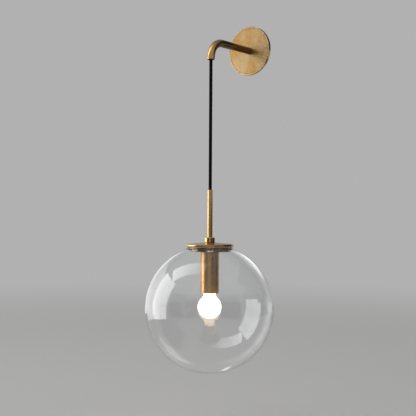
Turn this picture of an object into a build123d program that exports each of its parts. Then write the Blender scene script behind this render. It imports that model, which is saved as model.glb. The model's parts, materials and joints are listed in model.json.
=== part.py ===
"""Wall light: a clear glass globe that hangs on a cord from a bent brass arm and a round wall plate.

The wall is the plane Y = 0 and the room is on its -Y side, with +Z up. The origin is the centre of
the plate's back, on the wall. All sizes are millimetres.
"""

from build123d import *
import math
import os

# Wall plate and the bracket behind it
plate_diameter = 100.0
plate_depth = 6.0
plate_wall = 1.6
plate_bevel = 0.9
bracket_diameter = 88.0
bracket_thickness = 1.5
wire_hole_diameter = 30.0
wall_screw_spacing = 60.0
wall_slot_length = 12.0
wall_slot_width = 5.0
lug_width = 10.0
lug_thickness = 2.0
lug_gap = 1.6
plate_screw_diameter = 2.5
plate_screw_length = 4.6

# Arm and its fixing
arm_reach = 133.0
arm_diameter = 15.0
arm_wall = 2.0
arm_bend_radius = 34.0
arm_tail_length = 2.0
arm_thread_diameter = 14.0
arm_end_setback = 0.4
arm_nut_flats = 18.0
arm_nut_thickness = 2.6
arm_washer_diameter = 21.0
arm_washer_thickness = 0.8
bushing_barrel = 6.5
bushing_flange_diameter = 14.0
bushing_flange = 1.0
bushing_mouth_flare = 0.7

# Cord, its stop collar and the wiring behind the arm
cord_diameter = 6.5
cord_drop = 253.4
stop_diameter = 13.0
stop_length = 8.0
stop_screw_diameter = 3.0
sheath_tail = 6.0
core_diameter = 1.8
core_pitch = 3.2
core_lead_out = 2.4
core_bend_radius = 5.6
core_grip = 4.0

# Terminal block and earth screw on the back of the bracket
terminal_width = 20.0
terminal_height = 11.0
terminal_depth = 13.0
terminal_top = 17.0
terminal_pitch = 11.0
terminal_bore = 2.8
terminal_screw_diameter = 2.8
terminal_fixing_diameter = 3.0
earth_screw_height = 24.0
earth_screw_diameter = 4.0
earth_head_diameter = 7.6
earth_head_height = 2.4
earth_lug_diameter = 8.0
earth_lug_thickness = 0.8
earth_barrel_length = 7.0
earth_barrel_wall = 0.7

# Stem, collar, cap and the gallery that carries the glass
stem_diameter = 10.0
stem_wall = 1.0
stem_length = 92.0
stem_thread_length = 50.0
stem_insert_length = 12.0
collar_diameter = 20.0
collar_height = 9.6
collar_bevel = 0.8
collar_screw_diameter = 3.0
collar_screw_drop = 3.2
collar_screw_turn = 18.0
cap_diameter = 94.0
cap_height = 8.0
cap_rise = 3.2
cap_edge_round = 2.1
cap_skin = 2.4
gasket_thickness = 1.0
gallery_diameter = 78.0
gallery_wall = 1.2
gallery_drop = 10.4
gallery_edge_round = 0.8
spacer_diameter = 15.0
clip_count = 3
clip_turn = 38.0
clip_width = 12.0
clip_thickness = 0.5
clip_bulge = 3.6
clip_foot = 3.4
clip_ramp = 3.2
clip_return = 2.3
rivet_diameter = 1.6
rivet_head_diameter = 3.2
rivet_head_height = 0.6

# Glass globe
globe_diameter = 250.0
globe_wall = 3.0
globe_mouth_diameter = 82.0
globe_lip_stand = 1.9
globe_lip_round = 1.0

# Lamp cup and lamp holder
cup_diameter = 36.0
cup_wall = 1.5
cup_length = 79.6
cup_edge_bevel = 0.5
cup_nut_flats = 14.0
cup_nut_thickness = 3.0
holder_diameter = 28.0
holder_body_diameter = 26.0
holder_length = 60.0
holder_wall = 2.0
holder_skirt_length = 27.0
holder_skirt_lap = 6.0
holder_thread_length = 8.0
holder_bore_diameter = 17.4
holder_floor_thickness = 8.0
shell_diameter = 15.9
shell_wall = 0.6
shell_setback = 2.0
contact_diameter = 5.0
contact_height = 1.2
holder_lead_pitch = 6.4

# Bulb
bulb_diameter = 45.0
bulb_neck_diameter = 23.5
bulb_neck_length = 8.0
bulb_neck_blend = 8.0
bulb_shoulder_round = 3.0
bulb_glass_length = 53.5
bulb_glass_wall = 0.9
bulb_cap_diameter = 13.9
bulb_cap_wall = 0.5
bulb_cap_thread_length = 16.5
bulb_skirt_diameter = 16.4
bulb_skirt_length = 3.0
bulb_insulator_height = 3.6
bulb_tip_diameter = 4.6
bulb_tip_height = 1.4
bulb_mount_diameter = 5.0
bulb_mount_length = 24.0
filament_count = 4
filament_diameter = 1.6
filament_length = 22.0
filament_circle = 9.0

# Clearances
thread_gap = 0.05
slip_gap = 0.1
seat_gap = 0.3
bore_gap = 0.4

# Places that follow from the sizes
plate_radius = plate_diameter / 2
plate_inner_face = plate_depth - plate_wall
lug_outer = plate_radius - plate_wall - lug_gap
lug_reach = plate_inner_face - seat_gap
plate_screw_depth = (bracket_thickness + plate_inner_face) / 2 - seat_gap
arm_radius = arm_diameter / 2
arm_bore_radius = arm_radius - arm_wall
cord_radius = cord_diameter / 2
core_radius = core_diameter / 2
outlet_z = -(arm_bend_radius + arm_tail_length)
pivot_z = outlet_z - bushing_flange
neck_gap = cord_radius + seat_gap
stem_top_z = pivot_z - cord_drop
collar_top_z = stem_top_z - stem_length
cap_top_z = collar_top_z - collar_height
cap_under_z = cap_top_z - cap_height
gallery_top_z = cap_under_z + (cap_height - cap_rise - cap_skin)
gallery_under_z = cap_under_z - gallery_drop
spacer_top_z = cap_top_z - cap_skin
stem_radius = stem_diameter / 2
stem_bore_radius = stem_radius - stem_wall
stem_end_z = collar_top_z - stem_thread_length
globe_radius = globe_diameter / 2
mouth_radius = globe_mouth_diameter / 2
lip_radius = mouth_radius + globe_wall
lip_top_z = cap_under_z - gasket_thickness - seat_gap
lip_top_height = math.sqrt(globe_radius**2 - lip_radius**2) + globe_lip_stand
globe_centre_z = lip_top_z - lip_top_height
lip_foot_z = globe_centre_z + math.sqrt((globe_radius - globe_wall) ** 2 - mouth_radius**2)
cup_radius = cup_diameter / 2
cup_mouth_z = gallery_under_z - cup_length
cup_top_inner_z = gallery_under_z - cup_wall
holder_top_z = stem_end_z + holder_thread_length
holder_mouth_z = holder_top_z - holder_length
holder_body_top_z = holder_top_z - holder_skirt_length + holder_skirt_lap
bulb_glass_top_z = holder_mouth_z - slip_gap - bulb_skirt_length / 2
bulb_cap_top_z = bulb_glass_top_z + bulb_skirt_length + bulb_cap_thread_length
bulb_tip_z = bulb_cap_top_z + bulb_insulator_height + bulb_tip_height
holder_floor_z = bulb_tip_z + slip_gap + contact_height
bulb_centre_z = bulb_glass_top_z - bulb_glass_length + bulb_diameter / 2
stop_back = stop_length - arm_end_setback
sheath_end = stop_back + sheath_tail

# The vertical line of the cord, and a plane through it whose x is a radius and whose y is the height
cord_axis = Axis((0, -arm_reach, 0), (0, 0, 1))
cord_plane = Plane(origin=(0, -arm_reach, 0), x_dir=(1, 0, 0), z_dir=(0, -1, 0))


def room_plane(depth):
    """A plane parallel to the wall, at this distance in front of it, that faces the room."""
    return Plane.XZ.offset(depth)


def level_plane(height):
    """A level plane at this height, with its origin on the cord's line."""
    return Plane(origin=(0, -arm_reach, height), x_dir=(1, 0, 0), z_dir=(0, 0, 1))


def radial_plane(turn, height):
    """A plane on the cord's line that faces outwards, turned from the room side towards +X."""
    angle = math.radians(turn)
    outwards = (math.sin(angle), -math.cos(angle), 0)
    return Plane(origin=(0, -arm_reach, height), x_dir=(math.cos(angle), math.sin(angle), 0), z_dir=outwards)


def turned(points):
    """Turns a closed outline of (radius, height) points about the cord's line."""
    with BuildPart() as piece:
        with BuildSketch(cord_plane):
            with BuildLine():
                Polyline(*points, close=True)
            make_face()
        revolve(axis=cord_axis)
    return piece


def ring(outer_radius, inner_radius, top_z, bottom_z):
    """A plain tube or ring about the cord's line."""
    with BuildPart() as piece:
        with BuildSketch(level_plane(bottom_z)):
            Circle(outer_radius)
            Circle(inner_radius, mode=Mode.SUBTRACT)
        extrude(amount=top_z - bottom_z)
    return piece


def socket_screw(plane, diameter, near, far):
    """A grub screw along a plane's normal, from near to far, with its hexagon socket in the far end."""
    with BuildPart() as piece:
        with BuildSketch(plane.offset(near)):
            Circle(diameter / 2)
        extrude(amount=far - near)
        with BuildSketch(plane.offset(far)):
            RegularPolygon(radius=diameter / 4, side_count=6, major_radius=False)
        extrude(amount=-(far - near) / 2, mode=Mode.SUBTRACT)
    return piece


def cord_tube(points, radii, diameter):
    """A round cord along straight runs joined by tangent arcs."""
    with BuildPart() as piece:
        with BuildLine() as route:
            if len(points) > 2:
                FilletPolyline(*points, radius=radii)
            else:
                Line(*points)
        with BuildSketch(Plane(origin=route.wire() @ 0, z_dir=route.wire() % 0)):
            Circle(diameter / 2)
        sweep()
    return piece


pieces = {}


def keep(name, piece):
    """Labels a finished piece and sets it aside for export."""
    piece.part.label = name
    pieces[name] = piece.part


# Wall bracket: a steel disc with two wall-screw slots, a wire hole and two lugs for the plate's screws
with BuildPart() as wall_bracket:
    with BuildSketch(room_plane(0)):
        Circle(bracket_diameter / 2)
        with Locations((0, 0)):
            Rectangle(lug_width, 2 * lug_outer)
        Circle(wire_hole_diameter / 2, mode=Mode.SUBTRACT)
        with GridLocations(wall_screw_spacing, 0, 2, 1):
            SlotOverall(wall_slot_length, wall_slot_width, mode=Mode.SUBTRACT)
        with Locations((0, earth_screw_height)):
            Circle(earth_screw_diameter / 2 + thread_gap, mode=Mode.SUBTRACT)
        with Locations((0, -terminal_top - terminal_height / 2)):
            Circle(terminal_fixing_diameter / 2 + thread_gap, mode=Mode.SUBTRACT)
    extrude(amount=bracket_thickness)
    with BuildSketch(room_plane(0)):
        with GridLocations(0, 2 * lug_outer - lug_thickness, 1, 2):
            Rectangle(lug_width, lug_thickness)
    extrude(amount=lug_reach)
    with BuildSketch(Plane.XY):
        with Locations((0, -plate_screw_depth)):
            Circle(plate_screw_diameter / 2 + thread_gap)
    extrude(amount=plate_radius, both=True, mode=Mode.SUBTRACT)
keep("wall_bracket", wall_bracket)

# Wall plate: a shallow brass pan with a bevelled edge
with BuildPart() as backplate:
    with BuildSketch(Plane.XY):
        with BuildLine():
            Polyline(
                (arm_thread_diameter / 2 + slip_gap, -plate_depth),
                (plate_radius - plate_bevel, -plate_depth),
                (plate_radius, -plate_depth + plate_bevel),
                (plate_radius, 0),
                (plate_radius - plate_wall, 0),
                (plate_radius - plate_wall, -plate_inner_face),
                (arm_thread_diameter / 2 + slip_gap, -plate_inner_face),
                close=True,
            )
        make_face()
    revolve(axis=Axis.Y)
    with BuildSketch(Plane.XY):
        with Locations((0, -plate_screw_depth)):
            Circle(plate_screw_diameter / 2 + slip_gap)
    extrude(amount=plate_diameter, both=True, mode=Mode.SUBTRACT)
keep("backplate", backplate)

# Two grub screws, one above and one below, that hold the plate to the bracket's lugs
with BuildPart() as plate_screws:
    for side in (1, -1):
        screw_plane = Plane(origin=(0, -plate_screw_depth, 0), x_dir=(1, 0, 0), z_dir=(0, 0, side))
        add(socket_screw(screw_plane, plate_screw_diameter,
                         plate_radius - slip_gap - plate_screw_length, plate_radius - slip_gap).part)
keep("plate_grub_screws", plate_screws)

# Arm: one brass tube, level, then bent down to its open end, with a turned-down thread through the plate
with BuildPart() as arm_tube:
    with BuildLine() as arm_route:
        FilletPolyline(
            (0, -plate_depth, 0),
            (0, -arm_reach, 0),
            (0, -arm_reach, outlet_z),
            radius=arm_bend_radius,
        )
    with BuildSketch(room_plane(plate_depth)):
        Circle(arm_radius)
        Circle(arm_bore_radius, mode=Mode.SUBTRACT)
    sweep(path=arm_route.wire())
    with BuildSketch(room_plane(arm_end_setback)):
        Circle(arm_thread_diameter / 2)
        Circle(arm_bore_radius, mode=Mode.SUBTRACT)
    extrude(amount=plate_depth - arm_end_setback)
keep("arm_tube", arm_tube)

# Washer and thin nut behind the plate
with BuildPart() as arm_washer:
    with BuildSketch(room_plane(plate_inner_face - arm_washer_thickness)):
        Circle(arm_washer_diameter / 2)
        Circle(arm_thread_diameter / 2 + slip_gap, mode=Mode.SUBTRACT)
    extrude(amount=arm_washer_thickness)
keep("arm_washer", arm_washer)

with BuildPart() as arm_nut:
    with BuildSketch(room_plane(plate_inner_face - arm_washer_thickness - arm_nut_thickness)):
        RegularPolygon(radius=arm_nut_flats / 2, side_count=6, major_radius=False)
        Circle(arm_thread_diameter / 2 + thread_gap, mode=Mode.SUBTRACT)
    extrude(amount=arm_nut_thickness)
keep("arm_lock_nut", arm_nut)

# Black bushing in the arm's open end, with a flared mouth for the cord. Its barrel narrows outside and
# widens inside where it reaches up into the bend.
bushing_bore = cord_radius + bore_gap
bend_reach = max(0.0, bushing_barrel - arm_tail_length)
bend_shift = arm_bend_radius - math.sqrt(arm_bend_radius**2 - bend_reach**2)
outlet_bushing = turned([
    (bushing_bore + bend_shift, outlet_z + bushing_barrel),
    (arm_bore_radius - slip_gap - bend_shift, outlet_z + bushing_barrel),
    (arm_bore_radius - slip_gap, outlet_z),
    (bushing_flange_diameter / 2, outlet_z),
    (bushing_flange_diameter / 2, pivot_z),
    (bushing_bore + bushing_mouth_flare, pivot_z),
    (bushing_bore, pivot_z + bushing_mouth_flare),
])
keep("outlet_bushing", outlet_bushing)

# Cord inside the arm, from behind the stop collar to just above the pivot in the bushing. It bends with
# the arm, or a little tighter where its drop to the pivot is shorter than the arm's bend.
arm_cord_end_z = pivot_z + neck_gap
arm_cord_bend = min(arm_bend_radius, -arm_cord_end_z) - seat_gap
arm_cord = cord_tube(
    [(0, sheath_end, 0), (0, -arm_reach, 0), (0, -arm_reach, arm_cord_end_z)], arm_cord_bend, cord_diameter,
)
keep("arm_cord", arm_cord)

# Stop collar that carries the cord's pull on the end of the arm, with its grub screw
with BuildPart() as cord_stop:
    with BuildSketch(room_plane(arm_end_setback - stop_length)):
        Circle(stop_diameter / 2)
        Circle(cord_radius + thread_gap, mode=Mode.SUBTRACT)
    extrude(amount=stop_length)
    with BuildSketch(Plane.XY):
        with Locations((0, stop_back / 2)):
            Circle(stop_screw_diameter / 2 + thread_gap)
    extrude(amount=stop_diameter, mode=Mode.SUBTRACT)
keep("cord_stop_collar", cord_stop)

stop_screw = socket_screw(
    Plane(origin=(0, stop_back / 2, 0), x_dir=(1, 0, 0), z_dir=(0, 0, 1)),
    stop_screw_diameter, cord_radius + slip_gap, stop_diameter / 2 - slip_gap,
)
keep("cord_stop_screw", stop_screw)

# Two cores that turn down into the terminal block, and one that turns up to the earth lug
core_turn_y = sheath_end + core_lead_out + core_bend_radius
terminal_bore_y = sheath_end + core_lead_out - core_bend_radius - slip_gap
core_drop = terminal_top - core_bend_radius
for name, side in (("live_core", -1), ("neutral_core", 1)):
    start_x = side * core_pitch / 2
    pole_x = side * terminal_pitch / 2
    core = cord_tube(
        [
            (start_x, sheath_end, 0),
            (start_x, core_turn_y, 0),
            (pole_x, core_turn_y, -core_drop),
            (pole_x, terminal_bore_y, -core_drop),
            (pole_x, terminal_bore_y, -terminal_top - core_grip),
        ],
        [core_bend_radius - slip_gap] * 3,
        core_diameter,
    )
    keep(name, core)

earth_barrel_radius = core_radius + thread_gap + earth_barrel_wall
earth_barrel_foot = earth_screw_height - earth_lug_diameter / 2 - earth_barrel_length
earth_rise = earth_barrel_foot - core_bend_radius
earth_start_z = core_pitch / 2
earth_core = cord_tube(
    [
        (0, sheath_end, earth_start_z),
        (0, core_turn_y, earth_start_z),
        (0, core_turn_y, earth_rise),
        (0, earth_barrel_radius, earth_rise),
        (0, earth_barrel_radius, earth_barrel_foot + core_grip),
    ],
    [min(core_bend_radius, (earth_rise - earth_start_z) / 2) - slip_gap] * 2 + [core_bend_radius - slip_gap],
    core_diameter,
)
keep("earth_core", earth_core)

# Earth lug: a crimped barrel and a flat ring under the earth screw
with BuildPart() as earth_lug:
    with BuildSketch(room_plane(-earth_lug_thickness)):
        with Locations((0, earth_screw_height)):
            Circle(earth_lug_diameter / 2)
        with Locations((0, earth_screw_height - earth_lug_diameter / 2)):
            Rectangle(2 * earth_barrel_radius, earth_lug_diameter / 2)
        with Locations((0, earth_screw_height)):
            Circle(earth_screw_diameter / 2 + slip_gap, mode=Mode.SUBTRACT)
    extrude(amount=earth_lug_thickness)
    with BuildSketch(Plane.XY.offset(earth_barrel_foot)):
        with Locations((0, earth_barrel_radius)):
            Circle(earth_barrel_radius)
    extrude(amount=earth_barrel_length)
    with BuildSketch(Plane.XY.offset(earth_barrel_foot)):
        with Locations((0, earth_barrel_radius)):
            Circle(core_radius + thread_gap)
    extrude(amount=earth_barrel_length, mode=Mode.SUBTRACT)
keep("earth_lug", earth_lug)

# Earth screw: a pan head behind the bracket, threaded through it
with BuildPart() as earth_screw:
    with BuildSketch(room_plane(-earth_lug_thickness)):
        with Locations((0, earth_screw_height)):
            Circle(earth_screw_diameter / 2)
    extrude(amount=earth_lug_thickness + bracket_thickness)
    with BuildSketch(room_plane(-earth_lug_thickness - earth_head_height)):
        with Locations((0, earth_screw_height)):
            Circle(earth_head_diameter / 2)
    extrude(amount=earth_head_height)
    fillet(earth_screw.edges().group_by(Axis.Y)[-1], radius=earth_head_height / 3)
    with BuildSketch(room_plane(-earth_lug_thickness - earth_head_height)):
        with Locations((0, earth_screw_height)):
            Rectangle(earth_head_diameter * 0.7, earth_head_height / 3)
            Rectangle(earth_head_height / 3, earth_head_diameter * 0.7)
    extrude(amount=earth_head_height / 2, mode=Mode.SUBTRACT)
keep("earth_screw", earth_screw)

# Terminal block: two poles with wire bores, clamp screws from behind and one fixing screw
terminal_mid_z = -terminal_top - terminal_height / 2
with BuildPart() as terminal_block:
    with BuildSketch(room_plane(-terminal_depth)):
        with Locations((0, terminal_mid_z)):
            Rectangle(terminal_width, terminal_height)
    extrude(amount=terminal_depth)
    fillet(terminal_block.edges().filter_by(Axis.Y), radius=terminal_bore / 3)
    with BuildSketch(Plane.XY.offset(-terminal_top)):
        with Locations((0, terminal_bore_y)):
            with GridLocations(terminal_pitch, 0, 2, 1):
                Circle(terminal_bore / 2)
    extrude(amount=-terminal_height, mode=Mode.SUBTRACT)
    with BuildSketch(room_plane(-terminal_depth)):
        with Locations((0, terminal_mid_z)):
            with GridLocations(terminal_pitch, 0, 2, 1):
                Circle(terminal_screw_diameter / 2 + thread_gap)
    extrude(amount=terminal_depth - terminal_bore_y, mode=Mode.SUBTRACT)
    with BuildSketch(room_plane(-terminal_depth)):
        with Locations((0, terminal_mid_z)):
            Circle(terminal_fixing_diameter / 2 + slip_gap)
    extrude(amount=terminal_depth, mode=Mode.SUBTRACT)
keep("terminal_block", terminal_block)


def slotted_screws(places, diameter, back, front):
    """Screws seen from behind the bracket, each with a driver slot in its back end."""
    with BuildPart() as piece:
        with BuildSketch(room_plane(-back)):
            with Locations(*places):
                Circle(diameter / 2)
        extrude(amount=back - front)
        with BuildSketch(room_plane(-back)):
            with Locations(*places):
                Rectangle(diameter * 1.2, diameter / 5)
        extrude(amount=diameter / 4, mode=Mode.SUBTRACT)
    return piece


terminal_screws = slotted_screws(
    [(-terminal_pitch / 2, terminal_mid_z), (terminal_pitch / 2, terminal_mid_z)],
    terminal_screw_diameter, terminal_depth - slip_gap, terminal_bore_y + core_radius + slip_gap,
)
keep("terminal_screws", terminal_screws)

terminal_fixing = slotted_screws(
    [(0, terminal_mid_z)], terminal_fixing_diameter, terminal_depth - slip_gap, -bracket_thickness,
)
keep("terminal_fixing_screw", terminal_fixing)

# Cord neck: the short stretch of cord that bends in the bushing's mouth, drawn as a ball on the pivot
with BuildPart() as cord_neck:
    with BuildSketch(cord_plane):
        with Locations((0, pivot_z)):
            Circle(cord_radius)
        with Locations((-cord_radius, pivot_z)):
            Rectangle(2 * cord_radius, 2 * cord_diameter, mode=Mode.SUBTRACT)
    revolve(axis=cord_axis)
keep("cord_neck", cord_neck)

# Hanging cord: one straight run between the arm and the stem
hanging_cord = cord_tube(
    [(0, -arm_reach, pivot_z - neck_gap), (0, -arm_reach, stem_top_z + seat_gap)], None, cord_diameter,
)
keep("hanging_cord", hanging_cord)

# Stem: a thin brass tube that goes on, threaded, through the collar, cap, gallery and cup to the holder
stem_tube = ring(stem_radius, stem_bore_radius, stem_top_z, stem_end_z)
keep("stem_tube", stem_tube)

stem_insert = ring(stem_bore_radius - slip_gap, cord_radius + thread_gap,
                   stem_top_z - slip_gap, stem_top_z - stem_insert_length)
keep("stem_insert", stem_insert)

stem_cord = cord_tube(
    [(0, -arm_reach, stem_top_z), (0, -arm_reach, stem_end_z + slip_gap)], None, cord_diameter,
)
keep("stem_cord", stem_cord)

# Collar: a round lock nut above the cap, with a grub screw in its side
with BuildPart() as stem_collar:
    with BuildSketch(level_plane(cap_top_z)):
        Circle(collar_diameter / 2)
        Circle(stem_radius + thread_gap, mode=Mode.SUBTRACT)
    extrude(amount=collar_height)
    outer_rim = stem_collar.edges().filter_by(GeomType.CIRCLE).group_by(SortBy.RADIUS)[-1]
    chamfer(outer_rim, length=collar_bevel)
    with BuildSketch(radial_plane(collar_screw_turn, collar_top_z - collar_screw_drop)):
        Circle(collar_screw_diameter / 2 + thread_gap)
    extrude(amount=collar_diameter, mode=Mode.SUBTRACT)
keep("stem_collar", stem_collar)

collar_screw = socket_screw(
    radial_plane(collar_screw_turn, collar_top_z - collar_screw_drop),
    collar_screw_diameter, stem_radius + slip_gap, collar_diameter / 2 - bore_gap,
)
keep("collar_grub_screw", collar_screw)

# Cap: a spun brass disc, slightly coned on top, with a rounded edge and a seat for the gallery below
cap_radius = cap_diameter / 2
cap_bore = stem_radius + slip_gap
gallery_radius = gallery_diameter / 2
cap_seat_radius = gallery_radius + slip_gap
with BuildPart() as cap_disc:
    with BuildSketch(cord_plane):
        with BuildLine():
            Polyline(
                (cap_bore, cap_top_z),
                (collar_diameter / 2, cap_top_z),
                (cap_radius, cap_top_z - cap_rise),
                (cap_radius, cap_under_z),
                (cap_seat_radius, cap_under_z),
                (cap_seat_radius, gallery_top_z),
                (gallery_radius - 2 * gallery_wall, gallery_top_z),
                (collar_diameter / 2, spacer_top_z),
                (cap_bore, spacer_top_z),
                close=True,
            )
        make_face()
    revolve(axis=cord_axis)
    edge_rims = cap_disc.edges().filter_by(GeomType.CIRCLE).group_by(SortBy.RADIUS)[-1]
    fillet(edge_rims, radius=cap_edge_round)
keep("cap_disc", cap_disc)

# Silicone ring between the cap and the glass
glass_gasket = ring(lip_radius + seat_gap, mouth_radius, cap_under_z, cap_under_z - gasket_thickness)
keep("glass_gasket", glass_gasket)

# Gallery: a shallow pan under the cap that carries the spring clips
with BuildPart() as gallery_pan:
    with BuildSketch(cord_plane):
        with BuildLine():
            Polyline(
                (gallery_radius - gallery_wall, gallery_top_z),
                (gallery_radius, gallery_top_z),
                (gallery_radius, gallery_under_z),
                (cap_bore, gallery_under_z),
                (cap_bore, gallery_under_z + gallery_wall),
                (gallery_radius - gallery_wall, gallery_under_z + gallery_wall),
                close=True,
            )
        make_face()
    revolve(axis=cord_axis)
    lowest_rims = gallery_pan.edges().filter_by(GeomType.CIRCLE).group_by(Axis.Z)[0]
    fillet(lowest_rims.sort_by(SortBy.RADIUS)[-1], radius=gallery_edge_round)
    for index in range(clip_count):
        rivet_plane = radial_plane(clip_turn + index * 360 / clip_count, lip_top_z - clip_foot / 2)
        with BuildSketch(rivet_plane):
            Circle(rivet_diameter / 2 + thread_gap)
        extrude(amount=gallery_diameter, mode=Mode.SUBTRACT)
keep("gallery_pan", gallery_pan)

gallery_spacer = ring(spacer_diameter / 2, cap_bore, spacer_top_z, gallery_under_z + gallery_wall)
keep("gallery_spacer", gallery_spacer)

# Spring clips: bent steel strips on the gallery that bulge out under the glass lip
clip_inner = gallery_radius + thread_gap
clip_outline = [
    (clip_inner, lip_top_z),
    (clip_inner + clip_thickness, lip_top_z),
    (clip_inner + clip_thickness, lip_top_z - clip_foot),
    (clip_inner + clip_bulge + clip_thickness, lip_top_z - clip_foot - clip_ramp),
    (clip_inner + clip_thickness, lip_top_z - clip_foot - clip_ramp - clip_return),
    (clip_inner, lip_top_z - clip_foot - clip_ramp - clip_return),
    (clip_inner + clip_bulge, lip_top_z - clip_foot - clip_ramp),
    (clip_inner, lip_top_z - clip_foot),
]
with BuildPart() as spring_clips:
    for index in range(clip_count):
        turn = clip_turn + index * 360 / clip_count
        side_on = radial_plane(turn, 0)
        clip_plane = Plane(origin=side_on.origin, x_dir=side_on.z_dir, z_dir=-side_on.x_dir)
        rivet_place = radial_plane(turn, lip_top_z - clip_foot / 2)
        with BuildSketch(clip_plane):
            with BuildLine():
                Polyline(*clip_outline, close=True)
            make_face()
        extrude(amount=clip_width / 2, both=True)
        with BuildSketch(rivet_place):
            Circle(rivet_diameter / 2 + thread_gap)
        extrude(amount=gallery_diameter, mode=Mode.SUBTRACT)
keep("spring_clips", spring_clips)

with BuildPart() as clip_rivets:
    for index in range(clip_count):
        rivet_plane = radial_plane(clip_turn + index * 360 / clip_count, lip_top_z - clip_foot / 2)
        shank_start = gallery_radius - gallery_wall - rivet_head_height
        with BuildSketch(rivet_plane.offset(shank_start)):
            Circle(rivet_diameter / 2)
        extrude(amount=clip_inner + clip_thickness - shank_start)
        for head_start in (shank_start - rivet_head_height / 2, clip_inner + clip_thickness):
            with BuildSketch(rivet_plane.offset(head_start)):
                Circle(rivet_head_diameter / 2)
            extrude(amount=rivet_head_height)
keep("clip_rivets", clip_rivets)

# Glass globe: a blown sphere, open at the top in a short turned lip
inner_radius = globe_radius - globe_wall
with BuildPart() as glass_globe:
    with BuildSketch(cord_plane):
        with BuildLine():
            lip_outer = (lip_radius, lip_top_z - globe_lip_stand)
            lip_inner = (mouth_radius, lip_foot_z)
            ThreePointArc((0, globe_centre_z - globe_radius), (globe_radius, globe_centre_z), lip_outer)
            Polyline(lip_outer, (lip_radius, lip_top_z), (mouth_radius, lip_top_z), lip_inner)
            ThreePointArc(lip_inner, (inner_radius, globe_centre_z), (0, globe_centre_z - inner_radius))
            Line((0, globe_centre_z - inner_radius), (0, globe_centre_z - globe_radius))
        make_face()
    revolve(axis=cord_axis)
    lip_rims = glass_globe.edges().filter_by(GeomType.CIRCLE).group_by(Axis.Z)[-1]
    fillet(lip_rims, radius=globe_lip_round)
keep("glass_globe", glass_globe)

# Lamp cup: a brass tube with a closed top, clamped under the gallery
cup_bore = cup_radius - cup_wall
lamp_cup = turned([
    (cap_bore, gallery_under_z),
    (cup_radius - cup_edge_bevel, gallery_under_z),
    (cup_radius, gallery_under_z - cup_edge_bevel),
    (cup_radius, cup_mouth_z + cup_edge_bevel / 2),
    (cup_radius - cup_edge_bevel / 2, cup_mouth_z),
    (cup_bore, cup_mouth_z),
    (cup_bore, cup_top_inner_z),
    (cap_bore, cup_top_inner_z),
])
keep("lamp_cup", lamp_cup)

with BuildPart() as cup_nut:
    with BuildSketch(level_plane(cup_top_inner_z - cup_nut_thickness)):
        RegularPolygon(radius=cup_nut_flats / 2, side_count=6, major_radius=False)
        Circle(stem_radius + thread_gap, mode=Mode.SUBTRACT)
    extrude(amount=cup_nut_thickness)
keep("cup_lock_nut", cup_nut)

# Lamp holder: a threaded cap on the stem, a body below it, a screw shell and a centre contact
holder_radius = holder_diameter / 2
holder_body_radius = holder_body_diameter / 2
holder_cap_roof_z = holder_top_z - holder_thread_length
holder_cap = turned([
    (stem_radius + thread_gap, holder_top_z),
    (stem_radius + holder_wall, holder_top_z),
    (holder_radius, holder_cap_roof_z + holder_wall),
    (holder_radius, holder_top_z - holder_skirt_length),
    (holder_body_radius + slip_gap, holder_top_z - holder_skirt_length),
    (holder_body_radius + slip_gap, holder_cap_roof_z - holder_wall),
    (stem_radius + holder_wall, holder_cap_roof_z),
    (stem_radius + thread_gap, holder_cap_roof_z),
])
keep("holder_cap", holder_cap)

with BuildPart() as holder_body:
    with BuildSketch(level_plane(holder_mouth_z)):
        Circle(holder_body_radius)
        Circle(holder_bore_diameter / 2, mode=Mode.SUBTRACT)
    extrude(amount=holder_body_top_z - holder_mouth_z)
    with BuildSketch(level_plane(holder_floor_z)):
        Circle(holder_body_radius)
        with GridLocations(holder_lead_pitch, 0, 2, 1):
            Circle(core_radius + thread_gap, mode=Mode.SUBTRACT)
    extrude(amount=holder_floor_thickness)
keep("holder_body", holder_body)

shell_radius = shell_diameter / 2
holder_shell = ring(shell_radius, shell_radius - shell_wall, holder_floor_z, holder_mouth_z + shell_setback)
keep("holder_screw_shell", holder_shell)

with BuildPart() as holder_contact:
    with BuildSketch(level_plane(holder_floor_z - contact_height)):
        Circle(contact_diameter / 2)
    extrude(amount=contact_height)
keep("holder_contact", holder_contact)

with BuildPart() as holder_leads:
    with BuildSketch(level_plane(holder_floor_z + slip_gap)):
        with GridLocations(holder_lead_pitch, 0, 2, 1):
            Circle(core_radius)
    extrude(amount=stem_end_z - holder_floor_z - slip_gap)
keep("holder_leads", holder_leads)

# Bulb: an opal glass envelope on a screw cap, with a glass mount and straight filaments inside
neck_top_z = bulb_glass_top_z
cap_throat_width = bulb_skirt_diameter - 2 * bulb_cap_wall
with BuildPart() as bulb_glass:
    with BuildSketch(cord_plane):
        with Locations((0, bulb_centre_z)):
            Circle(bulb_diameter / 2)
        with Locations((0, (neck_top_z + bulb_centre_z) / 2)):
            Rectangle(bulb_neck_diameter, neck_top_z - bulb_centre_z)
        joins = vertices().filter_by_position(Axis.Z, bulb_centre_z + 1, neck_top_z - 1)
        fillet(joins, radius=bulb_neck_blend)
        shoulders = vertices().group_by(Axis.Z)[-1]
        fillet(shoulders, radius=bulb_shoulder_round)
        offset(amount=-bulb_glass_wall, mode=Mode.SUBTRACT)
        with Locations((0, neck_top_z)):
            Rectangle(cap_throat_width, 2 * bulb_glass_wall + slip_gap, mode=Mode.SUBTRACT)
        with Locations((-bulb_diameter, bulb_centre_z)):
            Rectangle(2 * bulb_diameter, 4 * bulb_diameter, mode=Mode.SUBTRACT)
    revolve(axis=cord_axis)
keep("bulb_glass", bulb_glass)

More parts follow.
